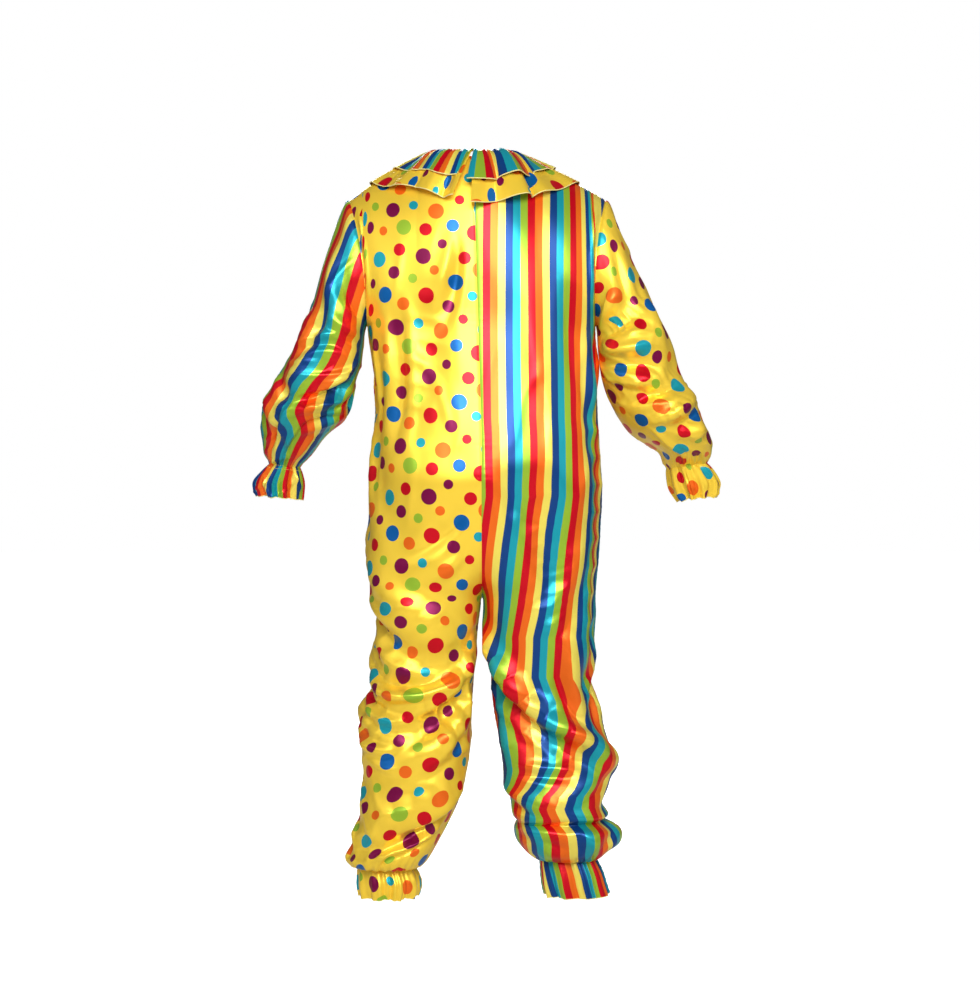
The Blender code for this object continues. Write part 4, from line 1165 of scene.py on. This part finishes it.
def ruffle(smooth, width, tall, phase, seed, rise, under=None):
    """Points and print coordinates of a ruffle, from its neck edge to its rolled edge."""
    share = np.linspace(0.0, 1.0, RUFFLE_COLUMNS + 1)
    angle = blend(RUFFLE_FROM, RUFFLE_TO, share)
    toward = angle + LEFT_END_TURN * np.exp((RUFFLE_FROM - angle) / 0.6)
    toward += RIGHT_END_TURN * np.exp((angle - RUFFLE_TO) / 0.4)
    steps = round(width / MARCH_STEP)
    longer = MARCH_STEP * (1 + 0.16 * by_shoulders(angle, 0.5))
    paths = np.array([laid_path(smooth, *way, steps, step) for *way, step in zip(angle, toward, longer)])
    spots, ways = paths.transpose(2, 1, 0, 3)
    raised = rise * hump(angle, 0.72, 0.36) - 0.010 * hump(angle, 2 * math.pi - 0.05, 0.22)
    droop = raised - 0.005 * wander(angle, seed + 4, (3, 5, 11)) - 0.006 * by_shoulders(angle, 0.45)
    rows = []
    for index in range(len(spots)):
        distance = index * MARCH_STEP
        reach = distance / width
        spot = eased(spots[index], SPOT_ROUNDS)
        way = unit(eased(ways[index], WAY_ROUNDS))
        along = unit(np.gradient(spot, axis=0))
        off, turn = wave(angle, phase, tall, seed, reach)
        lift = RUFFLE_LIFT + off + flutes(angle, distance, seed) + 0.25 * np.abs(raised) * reach
        if under:
            under_width, under_tall, under_phase, under_seed = under
            below, _ = wave(angle, under_phase, under_tall, under_seed, distance / under_width)
            lift += RUFFLE_APART + below
        uneven = liveliness(angle) * (1 + 0.5 * wander(angle, seed + 3, (2, 5, 6)))
        flop = FLOP * reach * np.sin(turn) * uneven
        stand = RUFFLE_STAND * math.exp(-(((distance - STAND_AT) / STAND_WIDTH) ** 2))
        spot = spot + way * lift[:, None] + along * flop[:, None]
        rows.append(spot + np.outer(reach * droop + stand, (0, 0, 1)))
    points = np.array(rows)
    _, turn = wave(angle, phase, tall, seed, 1.0)
    u = -share * runs_along(points)[-1, -1] - 0.0035 * np.sin(turn + 0.8)
    v = np.arange(len(points)) * MARCH_STEP
    return lean_over(points), np.stack(np.broadcast_arrays(u[None, :], -v[:, None]), axis=-1)


# ---------------------------------------------------------------- meshes
def new_mesh_object(name, points, faces, materials):
    mesh = bpy.data.meshes.new(name)
    mesh.from_pydata([tuple(point) for point in points], [], faces)
    for material in materials:
        mesh.materials.append(material)
    mesh.update()
    piece = bpy.data.objects.new(name, mesh)
    bpy.context.scene.collection.objects.link(piece)
    return piece


def work_on(piece):
    bpy.ops.object.select_all(action="DESELECT")
    piece.select_set(True)
    bpy.context.view_layer.objects.active = piece


def cloth_piece(name, points, uv, closed, outward, materials):
    """A sheet of cloth through a grid of points, given its thickness, with its print coordinates. Outward is
    the way its face looks halfway down, and halfway across an open sheet or a quarter round a closed one."""
    rows, wide = points.shape[:2]
    kept = wide - 1 if closed else wide
    facing = normals_of(points)[rows // 2, wide // 4 if closed else wide // 2]
    flip = facing @ np.array(outward) < 0
    faces = []
    corners_uv = []
    for row in range(rows - 1):
        for column in range(wide - 1):
            here = [(row, column), (row, column + 1), (row + 1, column + 1), (row + 1, column)]
            if flip:
                here.reverse()
            faces.append([one_row * kept + one_column % kept for one_row, one_column in here])
            corners_uv += here
    piece = new_mesh_object(name, points[:, :kept].reshape(-1, 3), faces, materials)
    layer = piece.data.uv_layers.new(name="cut")
    index = np.array(corners_uv)
    layer.data.foreach_set("uv", uv[index[:, 0], index[:, 1]].astype(np.float32).ravel())
    work_on(piece)
    solidify = piece.modifiers.new("thickness", "SOLIDIFY")
    solidify.thickness = bpy.context.scene.suit_cloth.thickness
    solidify.offset = 0.0
    solidify.material_offset = 1
    solidify.material_offset_rim = 0
    bpy.ops.object.modifier_apply(modifier=solidify.name)
    bpy.ops.object.shade_smooth_by_angle(angle=math.radians(50))
    return piece


def round_ring(side, over, count):
    """Ways out to a ring of points round each place, from one way out to another at right angles to it."""
    angle = np.arange(count)[:, None] * 2 * np.pi / count
    return side[..., None, :] * np.cos(angle) + over[..., None, :] * np.sin(angle)


def thread_piece(name, path, radius, material, closed=False, sides=6):
    """A round thread along a path of points."""
    path = np.asarray(path)
    if closed:
        forward = np.roll(path, -1, axis=0) - np.roll(path, 1, axis=0)
    else:
        forward = np.gradient(path, axis=0)
    forward = unit(forward)
    up = np.where(np.abs(forward[:, 2:3]) > 0.9, (1.0, 0.0, 0.0), (0.0, 0.0, 1.0))
    side = unit(np.cross(forward, up))
    ring = path[:, None] + radius * round_ring(side, np.cross(side, forward), sides)
    count = len(path)
    faces = []
    for row in range(count if closed else count - 1):
        low, high = row * sides, (row + 1) % count * sides
        for column in range(sides):
            other = (column + 1) % sides
            faces.append((low + column, low + other, high + other, high + column))
    if not closed:
        faces.append(tuple(range(sides))[::-1])
        faces.append(tuple((count - 1) * sides + column for column in range(sides)))
    piece = new_mesh_object(name, ring.reshape(-1, 3), faces, [material])
    piece.data.shade_smooth()
    return piece


def stitches(name, rows, ways, material):
    """Short raised stitches along rows of the cloth, on the side that the ways point to."""
    rise = np.array(STITCH_RISE) * STITCH_RADIUS + bpy.context.scene.suit_cloth.thickness / 2
    rings = []
    for path, way in zip(rows, ways):
        run = runs_along(path)
        starts = np.arange(0.0, run[-1] - STITCH_LENGTH, STITCH_LENGTH + STITCH_GAP)
        at = starts[:, None] + np.linspace(0.0, STITCH_LENGTH, len(STITCH_RISE))
        up = unit(along_path(at, run, way))
        spot = along_path(at, run, path) + up * rise[:, None]
        side = unit(np.cross(up, np.gradient(spot, axis=1)))
        rings.append(spot[..., None, :] + STITCH_RADIUS * round_ring(up, side, STITCH_SIDES))
    rings = np.concatenate(rings)
    faces = []
    for stitch in range(len(rings)):
        first = stitch * rings.shape[1] * STITCH_SIDES
        for ring in range(rings.shape[1] - 1):
            low = first + ring * STITCH_SIDES
            for one in range(STITCH_SIDES):
                other = (one + 1) % STITCH_SIDES
                high = low + STITCH_SIDES
                faces.append((low + one, high + one, high + other, low + other))
        last = first + (rings.shape[1] - 1) * STITCH_SIDES
        faces.append(tuple(first + one for one in range(STITCH_SIDES)))
        faces.append(tuple(last + one for one in range(STITCH_SIDES))[::-1])
    piece = new_mesh_object(name, rings.reshape(-1, 3), faces, [material])
    piece.data.shade_smooth()
    return piece


# ---------------------------------------------------------------- materials
class Nodes:
    """Short ways to add and join a material's nodes."""

    def __init__(self, name):
        self.material = bpy.data.materials.new(name)
        self.material.use_nodes = True
        self.tree = self.material.node_tree
        self.shader = self.tree.nodes["Principled BSDF"]

    def add(self, kind, **settings):
        node = self.tree.nodes.new(kind)
        for key, value in settings.items():
            setattr(node, key, value)
        return node

    def feed(self, source, target):
        if isinstance(source, (int, float, tuple)):
            target.default_value = source
        else:
            self.tree.links.new(source, target)

    def math(self, operation, *values):
        node = self.add("ShaderNodeMath", operation=operation)
        for value, socket in zip(values, node.inputs):
            self.feed(value, socket)
        return node.outputs[0]

    def vector(self, operation, *values):
        node = self.add("ShaderNodeVectorMath", operation=operation)
        for value, socket in zip(values, node.inputs):
            self.feed(value, socket)
        return node.outputs["Value" if operation in ("LENGTH", "DISTANCE") else "Vector"]

    def mix(self, factor, first, second):
        node = self.add("ShaderNodeMix", data_type="RGBA")
        self.feed(factor, node.inputs["Factor"])
        self.feed(first, node.inputs["A"])
        self.feed(second, node.inputs["B"])
        return node.outputs["Result"]

    def cut(self):
        return self.add("ShaderNodeUVMap", uv_map="cut").outputs["UV"]


def linear(colour):
    return (*colour, 1.0)


def dotted_colour(nodes):
    inks = bpy.context.scene.suit_inks
    cut = nodes.cut()
    half = tuple(size / 2000 * DOT_SPREAD for size in DOT_REPEAT) + (0.5,)
    low = tuple(-size for size in half)
    colour = linear(inks.yellow)
    for ink in INKS:
        nearest = None
        for across, down, radius, dot_ink in DOT_CHART:
            if dot_ink != ink:
                continue
            centre = (across / 1000 * DOT_SPREAD, -down / 1000 * DOT_SPREAD, 0.0)
            offset = nodes.vector("WRAP", nodes.vector("SUBTRACT", cut, centre), half, low)
            away = nodes.vector("LENGTH", offset)
            edge = nodes.math("SUBTRACT", away, radius / 1000)
            nearest = edge if nearest is None else nodes.math("MINIMUM", nearest, edge)
        inside = nodes.math("LESS_THAN", nearest, 0.0)
        colour = nodes.mix(inside, colour, linear(getattr(inks, ink)))
    return colour


def striped_colour(nodes):
    inks = bpy.context.scene.suit_inks
    split = nodes.add("ShaderNodeSeparateXYZ")
    nodes.feed(nodes.cut(), split.inputs[0])
    repeat = len(STRIPE_ORDER) * inks.stripe_width
    share = nodes.math("FRACT", nodes.math("DIVIDE", split.outputs["X"], repeat))
    ramp = nodes.add("ShaderNodeValToRGB")
    ramp.color_ramp.interpolation = "CONSTANT"
    points = ramp.color_ramp.elements
    for index, ink in enumerate(STRIPE_ORDER):
        point = points[index] if index < 2 else points.new(index / len(STRIPE_ORDER))
        point.position = index / len(STRIPE_ORDER)
        point.color = linear(getattr(inks, ink))
    nodes.feed(share, ramp.inputs["Fac"])
    return ramp.outputs["Color"]


def thread_bump(nodes, strength):
    """Satin's long threads, which run down the cut, as a faint bump."""
    mapping = nodes.add("ShaderNodeMapping")
    mapping.inputs["Scale"].default_value = (2600.0, 90.0, 1.0)
    nodes.feed(nodes.cut(), mapping.inputs["Vector"])
    noise = nodes.add("ShaderNodeTexNoise")
    noise.inputs["Scale"].default_value = 1.0
    noise.inputs["Detail"].default_value = 2.0
    nodes.feed(mapping.outputs["Vector"], noise.inputs["Vector"])
    bump = nodes.add("ShaderNodeBump")
    bump.inputs["Strength"].default_value = strength
    bump.inputs["Distance"].default_value = 0.0002
    nodes.feed(noise.outputs["Fac"], bump.inputs["Height"])
    return bump.outputs["Normal"]


def satin(name, colour_of):
    """The shiny face of the satin. Its highlight runs across the threads."""
    look = bpy.context.scene.suit_cloth
    nodes = Nodes(name)
    shader = nodes.shader
    nodes.feed(colour_of(nodes), shader.inputs["Base Color"])
    shader.inputs["Roughness"].default_value = look.roughness
    shader.inputs["Specular IOR Level"].default_value = look.gloss
    shader.inputs["Metallic"].default_value = look.dyed_gloss
    shader.inputs["Anisotropic"].default_value = look.thread_gloss
    tangent = nodes.add("ShaderNodeTangent", direction_type="UV_MAP", uv_map="cut")
    nodes.feed(tangent.outputs["Tangent"], shader.inputs["Tangent"])
    nodes.feed(thread_bump(nodes, 0.35), shader.inputs["Normal"])
    return nodes.material


def wrong_side(name, colour_of, base):
    """The dull inside of the satin, where the print shows through faintly."""
    nodes = Nodes(name)
    shader = nodes.shader
    nodes.feed(nodes.mix(0.45, colour_of(nodes), linear(base)), shader.inputs["Base Color"])
    shader.inputs["Roughness"].default_value = 0.75
    shader.inputs["Specular IOR Level"].default_value = 0.25
    nodes.feed(thread_bump(nodes, 0.5), shader.inputs["Normal"])
    return nodes.material


def thread_material(name, colour):
    nodes = Nodes(name)
    shader = nodes.shader
    noise = nodes.add("ShaderNodeTexNoise")
    coordinate = nodes.add("ShaderNodeTexCoord")
    nodes.feed(coordinate.outputs["Object"], noise.inputs["Vector"])
    noise.inputs["Scale"].default_value = 900.0
    darker = tuple(channel * 0.8 for channel in colour)
    nodes.feed(nodes.mix(noise.outputs["Fac"], linear(darker), linear(colour)), shader.inputs["Base Color"])
    shader.inputs["Roughness"].default_value = 0.6
    return nodes.material


def material(name):
    """One of the suit's materials, made the first time it is asked for."""
    made = bpy.data.materials.get(name)
    if made:
        return made
    inks = bpy.context.scene.suit_inks
    makers = {
        "dotted_face": lambda: satin("dotted_face", dotted_colour),
        "striped_face": lambda: satin("striped_face", striped_colour),
        "dotted_wrong_side": lambda: wrong_side("dotted_wrong_side", dotted_colour, (0.90, 0.72, 0.30)),
        "striped_wrong_side": lambda: wrong_side("striped_wrong_side", striped_colour, (0.62, 0.55, 0.50)),
        "edge_thread": lambda: thread_material("edge_thread", tuple(inks.edge_thread)),
        "sewing_thread": lambda: thread_material("sewing_thread", tuple(inks.sewing_thread)),
    }
    return makers[name]()


# ---------------------------------------------------------------- what a user would change
def length_of(name, description, default, least, most):
    return bpy.props.FloatProperty(
        name=name, description=description, default=default, min=least, max=most, unit="LENGTH"
    )


def share_of(name, description, default, least=0.0):
    return bpy.props.FloatProperty(
        name=name, description=description, default=default, min=least, max=1.0, subtype="FACTOR"
    )


def power_of(name, description, default):
    return bpy.props.FloatProperty(name=name, description=description, default=default, min=0.0, unit="POWER")


def ink(name, description, colour):
    return bpy.props.FloatVectorProperty(
        name=name, description=description, default=colour, size=3, min=0.0, max=1.0, subtype="COLOR"
    )


class SuitCloth(bpy.types.PropertyGroup):
    """Sizes and finish of the satin."""

    thickness: length_of("Thickness", "Of one layer of cloth", 0.0009, 0.0003, 0.002)
    roughness: share_of("Roughness", "Of the satin's face", 0.35, 0.05)
    gloss: share_of("Gloss", "How bright the satin's highlights are", 0.31)
    dyed_gloss: share_of("Dyed gloss", "How much light comes back off the dyed threads as off metal", 0.42)
    thread_gloss: share_of("Thread gloss", "How far the highlights stretch across the threads", 0.7)


class SuitInks(bpy.types.PropertyGroup):
    """Colours and sizes of the two prints."""

    stripe_width: length_of("Stripe width", "Of one printed stripe", 0.01448, 0.004, 0.05)
    yellow: ink("Ground yellow", "Under the dots", (1.0, 0.68, 0.055))
    pale_yellow: ink("Stripe yellow", "The yellow stripe", (0.93, 0.77, 0.12))
    red: ink("Red", "The red ink", (0.64, 0.001, 0.012))
    orange: ink("Orange", "The orange ink", (0.92, 0.155, 0.010))
    navy: ink("Navy", "The dark blue stripe", (0.005, 0.055, 0.24))
    teal: ink("Teal", "The blue-green ink", (0.010, 0.36, 0.45))
    lime: ink("Lime", "The green ink", (0.33, 0.53, 0.035))
    plum: ink("Plum", "The dark purple ink", (0.20, 0.001, 0.060))
    blue: ink("Blue", "The mid blue ink", (0.001, 0.115, 0.40))
    edge_thread: ink("Edge thread", "Rolled and overlocked edges", (0.92, 0.80, 0.30))
    sewing_thread: ink("Sewing thread", "The elastics' stitching", (0.90, 0.72, 0.10))


class SuitStage(bpy.types.PropertyGroup):
    """The studio."""

    key: power_of("Key light", "The large soft light", 240.0)
    upper: power_of("Upper light", "On the shoulders", 17.0)
    fill: power_of("Fill light", "From the sides", 14.0)
    sky: share_of("Surroundings", "Light from all round", 0.15)


# ---------------------------------------------------------------- operators
def dress(piece, node, with_pieces=()):
    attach(piece, "root")
    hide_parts(node)
    for extra in with_pieces:
        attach(extra, "root")


def sewn_piece(name, made, printed, closed, outward):
    """A panel or a sleeve with its hem's edge and its rows of stitches."""
    points, uv, hem, sewn, ways = made
    materials = [material(printed + "_face"), material(printed + "_wrong_side")]
    piece = cloth_piece("cloth_" + name, points, uv, closed, outward, materials)
    edge = thread_piece("edge_" + name, hem, HEM_EDGE_RADIUS, material("edge_thread"), closed=closed)
    sewing = stitches("stitches_" + name, sewn, ways, material("sewing_thread"))
    dress(piece, name, [edge, sewing])


class SUIT_OT_panels(bpy.types.Operator):
    """Cut and drape the four long panels of the body and legs"""

    bl_idname = "suit.panels"
    bl_label = "Body and Legs"

    def execute(self, context):
        for name, (half, face, printed, seed) in PANELS.items():
            sewn_piece(name, panel(half, face, seed), printed, False, (0, face, 0))
        return {"FINISHED"}


class SUIT_OT_sleeves(bpy.types.Operator):
    """Cut and drape the two sleeves"""

    bl_idname = "suit.sleeves"
    bl_label = "Sleeves"

    def execute(self, context):
        for name, (half, printed, seed) in SLEEVES.items():
            sewn_piece(name, sleeve(half, seed), printed, True, (0, 1, 0))
        return {"FINISHED"}


class SUIT_OT_ruffles(bpy.types.Operator):
    """Gather the two ruffles round the neck and roll their edges"""

    bl_idname = "suit.ruffles"
    bl_label = "Neck Ruffles"

    def execute(self, context):
        smooth = shoulders()
        for name, sizes, rise, under, printed in (
            ("ruffle_lower", LOWER_RUFFLE, 0.020, None, "dotted"),
            ("ruffle_upper", UPPER_RUFFLE, 0.010, LOWER_RUFFLE, "striped"),
        ):
            points, uv = ruffle(smooth, *sizes, rise, under=under)
            materials = [material(printed + "_face"), material(printed + "_wrong_side")]
            piece = cloth_piece("cloth_" + name, points, uv, False, (0, -1, 1), materials)
            edge = thread_piece("edge_" + name, points[-1], RUFFLE_EDGE_RADIUS, material("edge_thread"))
            dress(piece, name, [edge])
        return {"FINISHED"}


def seen_only(tree, lighting, seen, socket):
    """Give the socket one value for lighting the suit and another for what the camera sees."""
    path = tree.nodes.new("ShaderNodeLightPath")
    mix = tree.nodes.new("ShaderNodeMix")
    mix.inputs["A"].default_value = lighting
    mix.inputs["B"].default_value = seen
    tree.links.new(path.outputs["Is Camera Ray"], mix.inputs["Factor"])
    tree.links.new(mix.outputs["Result"], socket)


class SUIT_OT_stage(bpy.types.Operator):
    """Set the floor, the lights and the camera"""

    bl_idname = "suit.stage"
    bl_label = "Stage"

    def execute(self, context):
        scene = context.scene
        stage = scene.suit_stage
        bpy.ops.object.select_all(action="DESELECT")
        place = (0, 0, FLOOR_Z)
        bpy.ops.mesh.primitive_circle_add(vertices=96, radius=FLOOR_RADIUS, fill_type="NGON", location=place)
        floor = context.object
        floor.name = "floor"
        pale = Nodes("pale_floor")
        sockets = pale.shader.inputs
        sockets["Base Color"].default_value = linear((FLOOR_GREY,) * 3)
        sockets["Roughness"].default_value = 0.9
        sockets["Emission Color"].default_value = linear(WHITE)
        seen_only(pale.tree, 0.0, FLOOR_SEEN, sockets["Emission Strength"])
        floor.data.materials.append(pale.material)
        for name, place, aim_z, size, power, colour in (
            ("key", (-0.6, 5.2, 1.3), -0.5, (2.8, 2.0), stage.key, (1.0, 0.99, 0.97)),
            ("upper", (0.1, 2.4, 0.55), -0.25, (1.3, 0.8), stage.upper, WHITE),
            ("fill_left", (4.0, 1.6, 0.8), -0.6, (2.0, 3.0), stage.fill, WHITE),
            ("fill_right", (-4.0, 1.6, 0.8), -0.6, (2.0, 3.0), stage.fill, WHITE),
            ("front", (0.5, -4.6, 1.6), -0.5, (2.8, 2.0), stage.key * 0.8, WHITE),
        ):
            light = bpy.data.lights.new(name, "AREA")
            light.shape = "RECTANGLE"
            light.size, light.size_y = size
            light.energy = power
            light.color = colour
            lamp = bpy.data.objects.new(name, light)
            lamp.location = place
            lamp.rotation_euler = (Vector((0, 0, aim_z)) - Vector(place)).to_track_quat("-Z", "Y").to_euler()
            scene.collection.objects.link(lamp)
        world = bpy.data.worlds.new("studio")
        world.use_nodes = True
        sockets = world.node_tree.nodes["Background"].inputs
        sockets["Color"].default_value = linear(WHITE)
        seen_only(world.node_tree, stage.sky, 1.0, sockets["Strength"])
        scene.world = world
        scene.view_settings.view_transform = "Standard"
        camera = bpy.data.objects.new("camera", bpy.data.cameras.new("camera"))
        camera.location = CAMERA_AT
        camera.rotation_euler = (math.pi / 2, 0, math.pi)
        camera.data.sensor_fit = "HORIZONTAL"
        camera.data.angle = 2 * math.atan(FRAME_WIDTH / 2 / CAMERA_AT[1])
        scene.collection.objects.link(camera)
        scene.camera = camera
        return {"FINISHED"}


class SUIT_PT_panel(bpy.types.Panel):
    """The suit's pieces"""

    bl_idname = "SUIT_PT_panel"
    bl_label = "Clown Suit"
    bl_space_type = "VIEW_3D"
    bl_region_type = "UI"
    bl_category = "Clown Suit"

    def draw(self, context):
        for group in (context.scene.suit_cloth, context.scene.suit_inks, context.scene.suit_stage):
            box = self.layout.box()
            for key in group.bl_rna.properties.keys():
                if key not in ("rna_type", "name"):
                    box.prop(group, key)
        for operator in OPERATORS:
            self.layout.operator(operator.bl_idname)


OPERATORS = (SUIT_OT_panels, SUIT_OT_sleeves, SUIT_OT_ruffles, SUIT_OT_stage)
CLASSES = (SuitCloth, SuitInks, SuitStage, *OPERATORS, SUIT_PT_panel)


def register():
    for one in CLASSES:
        bpy.utils.register_class(one)
    bpy.types.Scene.suit_cloth = bpy.props.PointerProperty(type=SuitCloth)
    bpy.types.Scene.suit_inks = bpy.props.PointerProperty(type=SuitInks)
    bpy.types.Scene.suit_stage = bpy.props.PointerProperty(type=SuitStage)


def unregister():
    del bpy.types.Scene.suit_stage
    del bpy.types.Scene.suit_inks
    del bpy.types.Scene.suit_cloth
    for one in reversed(CLASSES):
        bpy.utils.unregister_class(one)


def main():
    register()
    bpy.ops.suit.panels()
    bpy.ops.suit.sleeves()
    bpy.ops.suit.ruffles()
    bpy.ops.suit.stage()


if __name__ == "__main__":
    main()
